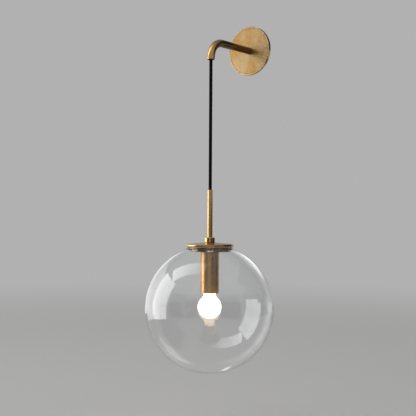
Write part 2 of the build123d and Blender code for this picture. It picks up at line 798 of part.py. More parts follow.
bulb_cap_radius = bulb_cap_diameter / 2
bulb_skirt_top_z = bulb_glass_top_z + bulb_skirt_length
bulb_cap = turned([
    (bulb_cap_radius - 2 * bulb_cap_wall, bulb_cap_top_z),
    (bulb_cap_radius, bulb_cap_top_z - 2 * bulb_cap_wall),
    (bulb_cap_radius, bulb_skirt_top_z),
    (bulb_skirt_diameter / 2, bulb_glass_top_z + bulb_cap_wall),
    (bulb_skirt_diameter / 2, bulb_glass_top_z),
    (bulb_skirt_diameter / 2 - 2 * bulb_cap_wall, bulb_glass_top_z),
    (bulb_cap_radius - 2 * bulb_cap_wall, bulb_skirt_top_z),
])
keep("bulb_screw_cap", bulb_cap)

bulb_insulator = turned([
    (0, bulb_cap_top_z + bulb_insulator_height),
    (bulb_tip_diameter / 2, bulb_cap_top_z + bulb_insulator_height),
    (bulb_cap_radius - 2 * bulb_cap_wall, bulb_cap_top_z),
    (0, bulb_cap_top_z),
])
keep("bulb_insulator", bulb_insulator)

with BuildPart() as bulb_tip:
    with BuildSketch(level_plane(bulb_cap_top_z + bulb_insulator_height)):
        Circle(bulb_tip_diameter / 2)
    extrude(amount=bulb_tip_height)
    fillet(bulb_tip.edges().group_by(Axis.Z)[-1], radius=bulb_tip_height / 2)
keep("bulb_tip_contact", bulb_tip)

# Glass mount inside the envelope, standing on a plug in the screw cap
bulb_plug_radius = bulb_cap_radius - 2 * bulb_cap_wall - thread_gap
bulb_mount = turned([
    (0, bulb_skirt_top_z + bulb_skirt_length),
    (bulb_plug_radius, bulb_skirt_top_z + bulb_skirt_length),
    (bulb_plug_radius, bulb_skirt_top_z),
    (bulb_mount_diameter / 2, bulb_glass_top_z - bulb_glass_wall),
    (bulb_mount_diameter / 2, bulb_glass_top_z - bulb_mount_length),
    (0, bulb_glass_top_z - bulb_mount_length),
])
keep("bulb_mount", bulb_mount)

# Filament sticks round the lower end of the mount
with BuildPart() as bulb_filaments:
    with BuildSketch(level_plane(bulb_glass_top_z - bulb_mount_length + filament_diameter)):
        with PolarLocations(bulb_mount_diameter / 2 + filament_diameter / 2 + thread_gap, filament_count):
            Circle(filament_diameter / 2)
    extrude(amount=-filament_length)
keep("bulb_filaments", bulb_filaments)

os.makedirs("parts", exist_ok=True)
for name, part in pieces.items():
    export_step(part, f"parts/{name}.step")

print("arm cord bend radius", arm_cord_bend, "for diameter", cord_diameter)
print("core bend radius", core_bend_radius - slip_gap, "for diameter", core_diameter)
print("hanging cord is straight, length", cord_drop)
print("levels", dict(stem_top=stem_top_z, cap_under=cap_under_z, globe_centre=globe_centre_z,
                     cup_mouth=cup_mouth_z, holder_mouth=holder_mouth_z, bulb_tip=bulb_tip_z,
                     bulb_centre=bulb_centre_z))
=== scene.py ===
"""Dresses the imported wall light: a clear glass globe on a braided cord, a bent arm and a round plate.

All sizes are metres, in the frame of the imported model: the plate is mounted on the plane Y = 0, the
light stands out on its -Y side and +Z is up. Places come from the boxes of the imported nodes.
"""

import json
import logging
import math
from abc import ABC, abstractmethod
from collections.abc import Callable, Sequence
from dataclasses import dataclass, field
from enum import Enum

import bmesh
import bpy
import numpy as np
from mathutils import Matrix, Quaternion, Vector

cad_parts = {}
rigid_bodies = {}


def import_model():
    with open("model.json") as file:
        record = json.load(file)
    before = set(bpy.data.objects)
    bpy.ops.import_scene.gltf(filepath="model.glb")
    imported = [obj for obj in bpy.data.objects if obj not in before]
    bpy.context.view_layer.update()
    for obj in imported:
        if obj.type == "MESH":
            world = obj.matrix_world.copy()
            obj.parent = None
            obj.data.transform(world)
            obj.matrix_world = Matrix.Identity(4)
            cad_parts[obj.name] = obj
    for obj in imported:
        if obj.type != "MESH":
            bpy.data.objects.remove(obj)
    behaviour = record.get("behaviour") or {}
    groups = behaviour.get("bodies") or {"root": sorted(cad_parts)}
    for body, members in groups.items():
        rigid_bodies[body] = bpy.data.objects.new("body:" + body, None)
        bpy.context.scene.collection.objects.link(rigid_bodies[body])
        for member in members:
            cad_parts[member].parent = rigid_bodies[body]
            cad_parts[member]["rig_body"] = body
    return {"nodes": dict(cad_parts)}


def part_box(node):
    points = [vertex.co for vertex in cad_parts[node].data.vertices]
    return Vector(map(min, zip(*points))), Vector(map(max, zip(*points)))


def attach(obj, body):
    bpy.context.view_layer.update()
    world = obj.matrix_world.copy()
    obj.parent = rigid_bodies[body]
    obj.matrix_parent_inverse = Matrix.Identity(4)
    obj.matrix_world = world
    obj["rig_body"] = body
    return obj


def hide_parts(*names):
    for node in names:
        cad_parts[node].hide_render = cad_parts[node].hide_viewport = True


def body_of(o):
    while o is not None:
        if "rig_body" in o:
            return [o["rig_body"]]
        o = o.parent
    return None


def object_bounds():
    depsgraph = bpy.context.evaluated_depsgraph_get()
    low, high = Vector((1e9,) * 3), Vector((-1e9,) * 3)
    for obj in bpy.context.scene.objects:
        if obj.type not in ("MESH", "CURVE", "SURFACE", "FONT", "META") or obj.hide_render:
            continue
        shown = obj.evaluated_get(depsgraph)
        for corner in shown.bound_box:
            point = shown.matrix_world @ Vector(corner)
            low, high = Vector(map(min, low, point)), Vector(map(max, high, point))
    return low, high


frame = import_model()
CAD_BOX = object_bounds()
LOG = logging.getLogger("wall_light")

MM = 0.001
PICTURE_SIDE = 416
SENSOR_WIDTH = 36.0
SMOOTH_ANGLE = math.radians(32)
POLE_RADIUS = 1e-6
END_SHARE = 1e-6
FOOT_ANGLE = -90.0
THREAD_MARGIN = 0.01 * MM
UP = Vector((0, 0, 1))
FORWARDS = Vector((0, -1, 0))
SIDEWAYS = Vector((1, 0, 0))
COLOUR_MIX_INPUTS = (0, 6, 7)
COLOUR_MIX_OUTPUT = 2

Colour = tuple[float, float, float]
Outline = list[tuple[float, float]]
Corner = tuple[float, float, float]
Values = dict[str, object]
Frames = tuple[np.ndarray, np.ndarray, np.ndarray]
Socket = bpy.types.NodeSocket
Sockets = dict[str, bpy.types.NodeSocket]


@dataclass(frozen=True)
class Extent:
    """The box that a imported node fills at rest."""

    low: Vector
    high: Vector

    @classmethod
    def of(cls, node: str) -> "Extent":
        """Reads a node's box from the frame."""
        low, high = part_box(node)
        return cls(low, high)

    @property
    def middle(self) -> Vector:
        """The box's centre."""
        return (self.low + self.high) / 2

    @property
    def radius(self) -> float:
        """Half of the box's width."""
        return (self.high.x - self.low.x) / 2


CORD_LINE = Extent.of("hanging_cord").middle
CORD_AXIS = Vector((CORD_LINE.x, CORD_LINE.y, 0))


class Guide(ABC):
    """A line that a turned piece is round."""

    @abstractmethod
    def frames(self, along: np.ndarray) -> Frames:
        """Gives the line's points at these lengths along it, with two unit directions across it."""

    def place(self, radius: np.ndarray, along: np.ndarray, turn: np.ndarray) -> np.ndarray:
        """Finds points round the line.

        Args:
            radius: Distance of each point from the line, one row for each ring.
            along: How far along the line each ring lies.
            turn: How far round each point lies, in whole turns.

        Returns:
            The points, one row for each ring.
        """
        centre, side, other = (part[:, None, :] for part in self.frames(along))
        angle = 2 * math.pi * turn[None, :, None]
        return centre + radius[:, :, None] * (np.cos(angle) * side + np.sin(angle) * other)


@dataclass(frozen=True)
class StraightGuide(Guide):
    """A straight line through an origin, with lengths measured from there."""

    origin: Vector
    direction: Vector
    side: Vector

    def frames(self, along: np.ndarray) -> Frames:
        """Moves the origin along the line and keeps both directions across it.

        Args:
            along: Lengths along the line.

        Returns:
            The points and both directions, one row for each length.
        """
        direction, side = np.array(self.direction), np.array(self.side)
        points = np.array(self.origin) + along[:, None] * direction
        rows = (len(along), 1)
        return points, np.tile(side, rows), np.tile(np.cross(direction, side), rows)


@dataclass(frozen=True)
class ArmGuide(Guide):
    """The arm's centre line: level out of the plate, a quarter bend, then straight down."""

    reach: float
    bend_radius: float

    @property
    def bend_start(self) -> float:
        """Length of the level run before the bend."""
        return self.reach - self.bend_radius

    @property
    def bend_length(self) -> float:
        """Length of the quarter bend."""
        return self.bend_radius * math.pi / 2

    def frames(self, along: np.ndarray) -> Frames:
        """Follows the level run, the quarter bend and the drop in the plane X = 0.

        Args:
            along: Lengths along the line.

        Returns:
            The points and both directions, one row for each length.
        """
        angle = np.clip((along - self.bend_start) / self.bend_radius, 0, math.pi / 2)
        before = np.minimum(along - self.bend_start, 0)
        after = np.maximum(along - self.bend_start - self.bend_length, 0)
        ahead = self.bend_start + before + self.bend_radius * np.sin(angle)
        drop = self.bend_radius * (1 - np.cos(angle)) + after
        nothing = np.zeros_like(along)
        points = np.stack([nothing, -ahead, -drop], axis=1)
        side = np.tile(np.array(SIDEWAYS), (len(along), 1))
        other = np.stack([nothing, np.sin(angle), -np.cos(angle)], axis=1)
        return points, side, other


class RouteGuide(Guide):
    """A smooth route through space, given by close points."""

    DIRECTION_STEPS = 1000

    def __init__(self, points: np.ndarray) -> None:
        """Keeps the route's points and their lengths along it.

        Args:
            points: The route's points, one row for each.
        """
        self.points = points
        steps = np.linalg.norm(np.diff(points, axis=0), axis=1)
        self.lengths = np.concatenate([[0.0], np.cumsum(steps)])

    @property
    def length(self) -> float:
        """Length of the whole route."""
        return float(self.lengths[-1])

    def frames(self, along: np.ndarray) -> Frames:
        """Interpolates the route and sets both directions square to it.

        Args:
            along: Lengths along the route.

        Returns:
            The points and both directions, one row for each length.
        """
        nudge = self.length / self.DIRECTION_STEPS
        before, here, after = (
            self._at(np.clip(along + shift, 0, self.length)) for shift in (-nudge, 0.0, nudge))
        direction = after - before
        direction /= np.linalg.norm(direction, axis=1)[:, None]
        side = np.cross(direction, np.array(FORWARDS))
        side /= np.linalg.norm(side, axis=1)[:, None]
        return here, side, np.cross(direction, side)

    def _at(self, along: np.ndarray) -> np.ndarray:
        """Interpolates the route at these lengths."""
        return np.stack([np.interp(along, self.lengths, column) for column in self.points.T], axis=1)


CORD_GUIDE = StraightGuide(CORD_AXIS, UP, SIDEWAYS)
WALL_GUIDE = StraightGuide(Vector((0, 0, 0)), FORWARDS, SIDEWAYS)


class Relief(ABC):
    """Small heights on a turned piece that change round it and along it."""

    @abstractmethod
    def height(self, radius: np.ndarray, along: np.ndarray, turn: np.ndarray) -> np.ndarray:
        """Gives the height to add to the radius, one row for each ring."""


class ThreadForm(Enum):
    """The section of a screw thread."""

    ROLLED = "rolled"
    VEE = "vee"


@dataclass(frozen=True)
class Thread(Relief):
    """A screw thread cut into, or rolled out of, the surfaces between two radii."""

    start: float
    end: float
    pitch: float
    depth: float
    least_radius: float
    most_radius: float
    form: ThreadForm = ThreadForm.VEE
    vee_slope: float = 2.4
    vee_root: float = 0.1

    def height(self, radius: np.ndarray, along: np.ndarray, turn: np.ndarray) -> np.ndarray:
        """Gives the thread's height, which fades in and out over one pitch at its ends.

        Args:
            radius: Each ring's radius.
            along: How far along the guide each ring lies.
            turn: How far round each point lies, in whole turns.

        Returns:
            The height to add to the radius, one row for each ring.
        """
        phase = (along[:, None] / self.pitch - turn[None, :]) % 1.0
        if self.form is ThreadForm.ROLLED:
            wave = 0.5 - 0.5 * np.cos(2 * math.pi * phase)
        else:
            wave = np.clip(self.vee_slope * np.abs(phase - 0.5) - self.vee_root, 0, 1)
        from_ends = np.minimum(along - self.start, self.end - along) / self.pitch
        fade = np.clip(from_ends, 0, 1)
        chosen = (radius >= self.least_radius) & (radius <= self.most_radius)
        return self.depth * wave * (fade * chosen)[:, None]


@dataclass(frozen=True)
class Braid(Relief):
    """Two sets of strands that wind opposite ways round a cord, each over one and under one."""

    strands: int = 8
    pitch: float = 18 * MM
    depth: float = 0.34 * MM
    least_radius: float = 3.0 * MM
    crown_share: float = 0.62
    bow_share: float = 0.38

    def height(self, radius: np.ndarray, along: np.ndarray, turn: np.ndarray) -> np.ndarray:
        """Gives the height of the upper strand at each point, below the cord's outside.

        Args:
            radius: Each ring's radius.
            along: How far along the guide each ring lies.
            turn: How far round each point lies, in whole turns.

        Returns:
            The height to add to the radius, one row for each ring.
        """
        climb = along[:, None] / self.pitch
        right = self.strands * (turn[None, :] + climb)
        left = self.strands * (turn[None, :] - climb)
        over = np.where((np.floor(right) + np.floor(left)) % 2 < 1, 1.0, -1.0)
        rights = self._strand(right, left, over)
        lefts = self._strand(left, right, -over)
        return (np.maximum(rights, lefts) - 1.0) * self.depth * (radius >= self.least_radius)[:, None]

    def _strand(self, across: np.ndarray, along: np.ndarray, over: np.ndarray) -> np.ndarray:
        """Gives one strand's height: round across, and bowed over or under along its length.

        Args:
            across: How far across its own strand each point lies, in strands.
            along: How far along its own strand each point lies, in crossings.
            over: 1 where the strand passes over, and -1 where it passes under.

        Returns:
            The strand's height at each point.
        """
        off_centre = np.abs(across % 1.0 - 0.5) * 2
        crown = np.sqrt(np.clip(1.0 - off_centre**2, 0, 1))
        bow = over * np.sin(math.pi * (along % 1.0))
        return self.crown_share * crown + self.bow_share * bow


def arc(centre: tuple[float, float], radius: float, start: float, end: float, steps: int) -> Outline:
    """Points on an arc of an outline.

    Args:
        centre: The arc's centre, as (radius from the guide, length along it).
        radius: The arc's radius.
        start: Start angle in degrees, from outwards towards along.
        end: End angle in degrees.
        steps: Number of spans.

    Returns:
        The arc's points, both ends included.
    """
    angles = np.radians(np.linspace(start, end, steps + 1))
    return [(centre[0] + radius * math.cos(a), centre[1] + radius * math.sin(a)) for a in angles]


def rounded(corners: Sequence[Corner], steps: int = 4) -> Outline:
    """Rounds the corners of a closed outline.

    Args:
        corners: Each corner as (radius, along, rounding), with 0 for a sharp one.
        steps: Number of spans in each rounding.

    Returns:
        The outline's points.
    """
    outline: Outline = []
    for index, (radius, along, rounding) in enumerate(corners):
        here = Vector((radius, along))
        if rounding <= 0:
            outline.append((radius, along))
            continue
        back = (Vector(corners[index - 1][:2]) - here).normalized()
        ahead = (Vector(corners[(index + 1) % len(corners)][:2]) - here).normalized()
        half = back.angle(ahead) / 2
        centre = here + (back + ahead).normalized() * rounding / math.sin(half)
        start = here + back * rounding / math.tan(half) - centre
        end = here + ahead * rounding / math.tan(half) - centre
        sweep = start.angle_signed(end)
        for step in range(steps + 1):
            point = centre + Matrix.Rotation(-sweep * step / steps, 2) @ start
            outline.append((point.x, point.y))
    return outline


def divided(outline: Outline, step: float, start: float, end: float) -> Outline:
    """Adds points to a closed outline's long spans between two lengths, so that it can bend.

    Args:
        outline: The closed outline.
        step: The longest span between the two lengths.
        start: Where the finer stretch starts along the guide.
        end: Where it ends.

    Returns:
        The outline with its extra points.
    """
    finer: Outline = []
    for (radius, along), (next_radius, next_along) in zip(outline, outline[1:] + outline[:1]):
        finer.append((radius, along))
        low, high = sorted((along, next_along))
        low, high = max(low, start), min(high, end)
        if high - low <= step:
            continue
        cuts = np.linspace(low, high, math.ceil((high - low) / step) + 1)
        if along > next_along:
            cuts = cuts[::-1]
        for cut in cuts:
            share = (cut - along) / (next_along - along)
            if END_SHARE < share < 1 - END_SHARE:
                finer.append((radius + share * (next_radius - radius), float(cut)))
    return finer


def in_scene(name: str, data: bpy.types.ID) -> bpy.types.Object:
    """Makes an object and puts it in the scene.

    Args:
        name: The object's name.
        data: Its mesh, lamp or camera.

    Returns:
        The object.
    """
    thing = bpy.data.objects.new(name, data)
    bpy.context.scene.collection.objects.link(thing)
    return thing


def finish_mesh(name: str, mesh: bpy.types.Mesh) -> bpy.types.Object:
    """Turns a mesh's faces outwards, smooths it up to sharp edges and puts it in the scene.

    Args:
        name: The piece's name.
        mesh: Its mesh, with vertices in the frame.

    Returns:
        The piece's object.
    """
    shape = bmesh.new()
    shape.from_mesh(mesh)
    bmesh.ops.recalc_face_normals(shape, faces=shape.faces)
    shape.to_mesh(mesh)
    shape.free()
    mesh.shade_smooth()
    mesh.set_sharp_from_angle(angle=SMOOTH_ANGLE)
    return in_scene(name, mesh)


def turned_piece(
    name: str, outline: Outline, guide: Guide, segments: int = 96, relief: Relief | None = None
) -> bpy.types.Object:
    """Turns a closed outline about a guide line.

    Args:
        name: The piece's name.
        outline: Points as (radius, along). Points on the line itself become poles.
        guide: The line that the piece is round.
        segments: Number of facets round the line.
        relief: Small heights to add to the radius, such as a thread.

    Returns:
        The piece's object.
    """
    radius, along = np.array(outline).T
    turn = np.arange(segments) / segments
    radii = np.repeat(radius[:, None], segments, axis=1)
    if relief is not None:
        radii = radii + relief.height(radius, along, turn)
    grid = guide.place(radii, along, turn)
    vertices: list[tuple[float, ...]] = []
    rings: list[list[int]] = []
    for row, pole in zip(grid, radius < POLE_RADIUS):
        first = len(vertices)
        points = row[:1] if pole else row
        vertices.extend(map(tuple, points))
        rings.append([first] * segments if pole else list(range(first, first + segments)))
    faces: list[tuple[int, ...]] = []
    for here, ahead in zip(rings, rings[1:] + rings[:1]):
        for index in range(segments):
            following = (index + 1) % segments
            corners = (here[index], here[following], ahead[following], ahead[index])
            face = tuple(dict.fromkeys(corners))
            if len(face) > 2:
                faces.append(face)
    mesh = bpy.data.meshes.new(name)
    mesh.from_pydata(vertices, [], faces)
    return finish_mesh(name, mesh)


class NodePen:
    """Writes nodes into one node tree."""

    def __init__(self, tree: bpy.types.NodeTree) -> None:
        """Keeps the tree."""
        self.tree = tree

    def feed(self, socket: Socket, value: object) -> None:
        """Links a socket to another one, or sets its own value.

        Args:
            socket: The socket to feed.
            value: An output socket, or a number, vector or colour.
        """
        if isinstance(value, Socket):
            self.tree.links.new(value, socket)
        elif socket.type == "RGBA" and len(value) == 3:
            socket.default_value = (*value, 1.0)
        else:
            socket.default_value = value

    def feed_all(self, node: bpy.types.Node, values: Sequence[object]) -> None:
        """Feeds a node's first inputs with these values or sockets, in order."""
        for socket, value in zip(node.inputs, values):
            self.feed(socket, value)

    def add(self, kind: str, inputs: Values | None = None, **settings: object) -> bpy.types.Node:
        """Adds one node.

        Args:
            kind: The node's type.
            inputs: Values or sockets for its inputs, by name.
            **settings: The node's own options.

        Returns:
            The node.
        """
        node = self.tree.nodes.new(kind)
        for option, value in settings.items():
            setattr(node, option, value)
        for name, value in (inputs or {}).items():
            self.feed(node.inputs[name], value)
        return node

    def maths(self, operation: str, *values: object, clamp: bool = False) -> Socket:
        """Works out a sum of numbers.

        Args:
            operation: The sum's name in Blender.
            *values: Its numbers, as values or sockets.
            clamp: Whether the result stays between 0 and 1.

        Returns:
            The result's socket.
        """
        node = self.add("ShaderNodeMath", operation=operation, use_clamp=clamp)
        self.feed_all(node, values)
        return node.outputs[0]

    def plus(self, *values: object) -> Socket:
        """Adds two numbers up."""
        return self.maths("ADD", *values)

    def minus(self, *values: object) -> Socket:
        """Takes the second number from the first."""
        return self.maths("SUBTRACT", *values)

    def times(self, *values: object) -> Socket:
        """Multiplies two numbers."""
        return self.maths("MULTIPLY", *values)

    def over(self, *values: object) -> Socket:
        """Divides the first number by the second."""
        return self.maths("DIVIDE", *values)

    def weighed(self, *parts: tuple[object, float]) -> Socket:
        """Adds two numbers up, each times its own weight."""
        return self.plus(*(self.times(value, weight) for value, weight in parts))

    def vector(self, operation: str, *values: object) -> bpy.types.Node:
        """Works out a sum of vectors.

        Args:
            operation: The sum's name in Blender.
            *values: Its vectors, as values or sockets.

        Returns:
            The node, whose result is a vector or a number.
        """
        node = self.add("ShaderNodeVectorMath", operation=operation)
        self.feed_all(node, values)
        return node

    def span(
        self, value: object, low: float, high: float, to_low: float = 0.0, to_high: float = 1.0
    ) -> Socket:
        """Maps a number's span onto another, smoothly, and stops at its ends.

        Args:
            value: The number's socket.
            low: Where its span starts.
            high: Where its span ends.
            to_low: What the start becomes.
            to_high: What the end becomes.

        Returns:
            The result's socket.
        """
        node = self.add("ShaderNodeMapRange", interpolation_type="SMOOTHSTEP")
        self.feed_all(node, (value, low, high, to_low, to_high))
        return node.outputs[0]

    def tint(self, share: object, first: object, second: object) -> Socket:
        """Mixes two colours.

        Args:
            share: The second colour's share, from 0 to 1.
            first: The first colour.
            second: The second colour.

        Returns:
            The mixed colour's socket.
        """
        node = self.add("ShaderNodeMix", data_type="RGBA", clamp_factor=True)
        for index, value in zip(COLOUR_MIX_INPUTS, (share, first, second)):
            self.feed(node.inputs[index], value)
        return node.outputs[COLOUR_MIX_OUTPUT]

    def noise(self, place: object, size: object, detail: float = 3.0, roughness: float = 0.55) -> Socket:
        """Adds noise with features of this size in metres and gives its value's socket."""
        inputs = {"Vector": place, "Scale": self.over(1.0, size), "Detail": detail, "Roughness": roughness}
        return self.add("ShaderNodeTexNoise", inputs, noise_dimensions="3D").outputs[0]

    def bump(self, height: object, depth: float, strength: float = 1.0) -> Socket:
        """Turns a height from 0 to 1 into a normal, for relief of this depth in metres."""
        inputs = {"Height": height, "Distance": depth, "Strength": strength}
        return self.add("ShaderNodeBump", inputs).outputs[0]

    def surface(self, inputs: Values) -> Socket:
        """Adds the Principled shader with these inputs."""
        return self.add("ShaderNodeBsdfPrincipled", inputs).outputs[0]

    def mixed(self, share: object, first: Socket, second: Socket) -> Socket:
        """Mixes two shaders.

        Args:
            share: The second shader's share, from 0 to 1.
            first: The first shader.
            second: The second shader.

        Returns:
            The mixed shader's socket.
        """
        node = self.add("ShaderNodeMixShader")
        self.feed_all(node, (share, first, second))
        return node.outputs[0]


SOCKET_KINDS = {float: "NodeSocketFloat", tuple: "NodeSocketVector"}
Wiring = Callable[[NodePen, Sockets], Values]


@dataclass(frozen=True)
class Effect:
    """A shader node group that several finishes share, built once."""

    title: str
    takes: dict[str, object]
    gives: tuple[str, ...]
    wiring: Wiring

    def tree(self) -> bpy.types.NodeTree:
        """Builds the group, or finds the one that is there.

        Returns:
            The group's node tree.
        """
        found = bpy.data.node_groups.get(self.title)
        if found is not None:
            return found
        tree = bpy.data.node_groups.new(self.title, "ShaderNodeTree")
        for name, usual in self.takes.items():
            kind = SOCKET_KINDS[type(usual)]
            socket = tree.interface.new_socket(name=name, in_out="INPUT", socket_type=kind)
            socket.default_value = usual
        for name in self.gives:
            tree.interface.new_socket(name=name, in_out="OUTPUT", socket_type="NodeSocketFloat")
        pen = NodePen(tree)
        inlet = pen.add("NodeGroupInput")
        results = self.wiring(pen, {name: inlet.outputs[name] for name in self.takes})
        pen.add("NodeGroupOutput", results)
        return tree

    def place(self, pen: NodePen, values: Values) -> Sockets:
        """Puts the group into a material.

        Args:
            pen: The material's pen.
            values: Values or sockets for the group's inputs.

        Returns:
            The group's output sockets by name.
        """
        node = pen.add("ShaderNodeGroup", node_tree=self.tree())
        for name, value in values.items():
            pen.feed(node.inputs[name], value)
        return {name: node.outputs[name] for name in self.gives}


def wire_turned_place(pen: NodePen, given: Sockets) -> Values:
    """Works out how far a point lies from a line, along it and round it.

    Args:
        pen: The group's pen.
        given: The group's inputs.

    Returns:
        The group's results by name.
    """
    offset = pen.vector("SUBTRACT", given["Place"], given["Origin"]).outputs[0]
    along = pen.vector("DOT_PRODUCT", offset, given["Direction"]).outputs["Value"]
    across = pen.vector("DOT_PRODUCT", offset, given["Side"]).outputs["Value"]
    square = pen.vector("CROSS_PRODUCT", given["Direction"], given["Side"]).outputs[0]
    other = pen.vector("DOT_PRODUCT", offset, square).outputs["Value"]
    squares = pen.plus(pen.times(across, across), pen.times(other, other))
    turn = pen.over(pen.maths("ARCTAN2", other, across), 2 * math.pi)
    return {"Radius": pen.maths("SQRT", squares), "Along": along, "Around": turn}


FINE_CLOUD_SIZE = 0.22
CLOUD_WEIGHTS = (0.68, 0.32)
CLOUD_SPAN = (0.36, 0.64)
SPECK_SPAN = (0.60, 0.72)
PATINA_WEIGHTS = (0.7, 0.3)


def wire_patina(pen: NodePen, given: Sockets) -> Values:
    """Draws cloudy tarnish with a ragged outline, and small specks over it.

    Args:
        pen: The group's pen.
        given: The group's inputs.

    Returns:
        The group's results by name.
    """
    shifted = pen.vector("ADD", given["Place"], given["Seed"]).outputs[0]
    broad = pen.noise(shifted, given["Cloud Size"], detail=5.0, roughness=0.62)
    fine_size = pen.times(given["Cloud Size"], FINE_CLOUD_SIZE)
    fine = pen.noise(shifted, fine_size, detail=4.0, roughness=0.6)
    cloud = pen.weighed(*zip((broad, fine), CLOUD_WEIGHTS))
    speck = pen.noise(shifted, given["Speck Size"], detail=2.0, roughness=0.5)
    return {
        "Cloud": pen.span(cloud, *CLOUD_SPAN),
        "Speck": pen.span(speck, *SPECK_SPAN),
        "Height": pen.weighed(*zip((fine, speck), PATINA_WEIGHTS)),
    }


COARSE_RINGS = 3.0
RING_WEIGHTS = (0.5, 0.5)
RING_SPAN = (0.3, 0.7)


def wire_turned_lines(pen: NodePen, given: Sockets) -> Values:
    """Draws the fine rings that turning or brushing leaves, broken along their length.

    Args:
        pen: The group's pen.
        given: The group's inputs.

    Returns:
        The group's results by name.
    """
    ring = pen.add("ShaderNodeCombineXYZ", {
        "X": pen.over(given["Across"], given["Spacing"]),
        "Y": pen.times(given["Around"], given["Breaks"]),
    }).outputs[0]
    coarse = pen.noise(ring, COARSE_RINGS, detail=2.0, roughness=0.6)
    fine = pen.noise(ring, 1.0, detail=2.0, roughness=0.6)
    line = pen.weighed(*zip((coarse, fine), RING_WEIGHTS))
    return {"Line": pen.span(line, *RING_SPAN)}


LEAST_RUB = 0.1
UNEVEN_RUB = 1.9
RUB_SPAN = (0.0, 0.85)


def wire_edge_band(pen: NodePen, given: Sockets) -> Values:
    """Marks an uneven band beside an edge, for metal worn bright by rubbing, painted highlights and darker
    bands.

    Args:
        pen: The group's pen.
        given: The group's inputs.

    Returns:
        The group's results by name.
    """
    off_edge = pen.maths("ABSOLUTE", pen.minus(given["Measure"], given["Edge"]))
    uneven = pen.noise(given["Place"], given["Patch Size"], detail=3.0, roughness=0.6)
    reach = pen.times(given["Width"], pen.plus(LEAST_RUB, pen.times(uneven, UNEVEN_RUB)))
    near = pen.maths("SUBTRACT", 1.0, pen.over(off_edge, reach), clamp=True)
    return {"Mask": pen.span(near, *RUB_SPAN)}


def wire_weave(pen: NodePen, given: Sockets) -> Values:
    """Draws two sets of strands that cross over and under each other round a cord.

    Args:
        pen: The group's pen.
        given: The group's inputs.

    Returns:
        The group's results by name.
    """
    climb = pen.over(given["Along"], given["Pitch"])
    right = pen.times(given["Strands"], pen.plus(given["Around"], climb))
    left = pen.times(given["Strands"], pen.minus(given["Around"], climb))
    crowns = []
    for across in (right, left):
        part = pen.maths("FLOORED_MODULO", across, 1.0)
        crowns.append(pen.maths("SINE", pen.times(part, math.pi)))
    cells = pen.plus(pen.maths("FLOOR", right), pen.maths("FLOOR", left))
    parity = pen.maths("FLOORED_MODULO", cells, 2.0)
    choice = {"Factor": parity, "A": crowns[0], "B": crowns[1]}
    height = pen.add("ShaderNodeMix", choice, data_type="FLOAT")
    return {"Height": height.outputs[0], "Parity": parity}


GRAIN_IN_SMEAR = 0.12
SMEAR_WEIGHTS = (0.7, 0.3)
SMEAR_SPAN = (0.3, 0.7)


def wire_handling(pen: NodePen, given: Sockets) -> Values:
    """Varies roughness in soft smears, with a finer grain in them.

    Args:
        pen: The group's pen.
        given: The group's inputs.

    Returns:
        The group's results by name.
    """
    smear = pen.noise(given["Place"], given["Size"], detail=3.0, roughness=0.6)
    grain_size = pen.times(given["Size"], GRAIN_IN_SMEAR)
    grain = pen.noise(given["Place"], grain_size, detail=2.0, roughness=0.5)
    both = pen.weighed(*zip((smear, grain), SMEAR_WEIGHTS))
    width = pen.minus(given["Most"], given["Least"])
    roughness = pen.plus(given["Least"], pen.times(pen.span(both, *SMEAR_SPAN), width))
    return {"Roughness": roughness, "Smear": smear}


NOWHERE = (0.0, 0.0, 0.0)
TURNED_PLACE = Effect(
    title="turned place",
    takes={"Place": NOWHERE, "Origin": NOWHERE, "Direction": (0.0, 0.0, 1.0), "Side": (1.0, 0.0, 0.0)},
    gives=("Radius", "Along", "Around"),
    wiring=wire_turned_place)
PATINA = Effect(
    title="patina",
    takes={"Place": NOWHERE, "Seed": NOWHERE, "Cloud Size": 0.02, "Speck Size": 0.001},
    gives=("Cloud", "Speck", "Height"),
    wiring=wire_patina)
TURNED_LINES = Effect(
    title="turned lines",
    takes={"Across": 0.0, "Around": 0.0, "Spacing": 0.0003, "Breaks": 6.0},
    gives=("Line",),
    wiring=wire_turned_lines)
EDGE_BAND = Effect(
    title="edge band",
    takes={"Place": NOWHERE, "Measure": 0.0, "Edge": 0.0, "Width": 0.001, "Patch Size": 0.006},
    gives=("Mask",),
    wiring=wire_edge_band)
WEAVE = Effect(
    title="braided weave",
    takes={"Around": 0.0, "Along": 0.0, "Strands": 8.0, "Pitch": 0.018},
    gives=("Height", "Parity"),
    wiring=wire_weave)
HANDLING = Effect(
    title="handling",
    takes={"Place": NOWHERE, "Size": 0.01, "Least": 0.3, "Most": 0.5},
    gives=("Roughness", "Smear"),
    wiring=wire_handling)


def place_round(pen: NodePen, place: Socket, guide: StraightGuide) -> Sockets:
    """Finds where a point lies round a guide line.

    Args:
        pen: The material's pen.
        place: The point's coordinates.
        guide: The line.

    Returns:
        The sockets of its Radius, Along and Around.
    """
    return TURNED_PLACE.place(pen, {
        "Place": place, "Origin": tuple(guide.origin), "Direction": tuple(guide.direction),
        "Side": tuple(guide.side)})


def darkened(colour: Colour, share: float) -> Colour:
    """Darkens a colour to a share of itself."""
    return tuple(share * part for part in colour)


@dataclass(frozen=True)
class Finish(ABC):
    """A surface finish that makes one material."""

    name: str

    @abstractmethod
    def wire(self, pen: NodePen, place: Socket) -> Socket:
        """Writes the finish's nodes and returns the surface shader."""

    def make(self) -> bpy.types.Material:
        """Makes the material, or finds the one that is there.

        Returns:
            The material.
        """
        found = bpy.data.materials.get(self.name)
        if found is not None:
            return found
        material = bpy.data.materials.new(self.name)
        material.use_nodes = True
        material.node_tree.nodes.clear()
        pen = NodePen(material.node_tree)
        place = pen.add("ShaderNodeTexCoord").outputs["Object"]
        pen.add("ShaderNodeOutputMaterial", {"Surface": self.wire(pen, place)})
        return material


class Measure(Enum):
    """What an edge is measured by: its distance from the guide line or its place along it."""

    RADIUS = "Radius"
    ALONG = "Along"


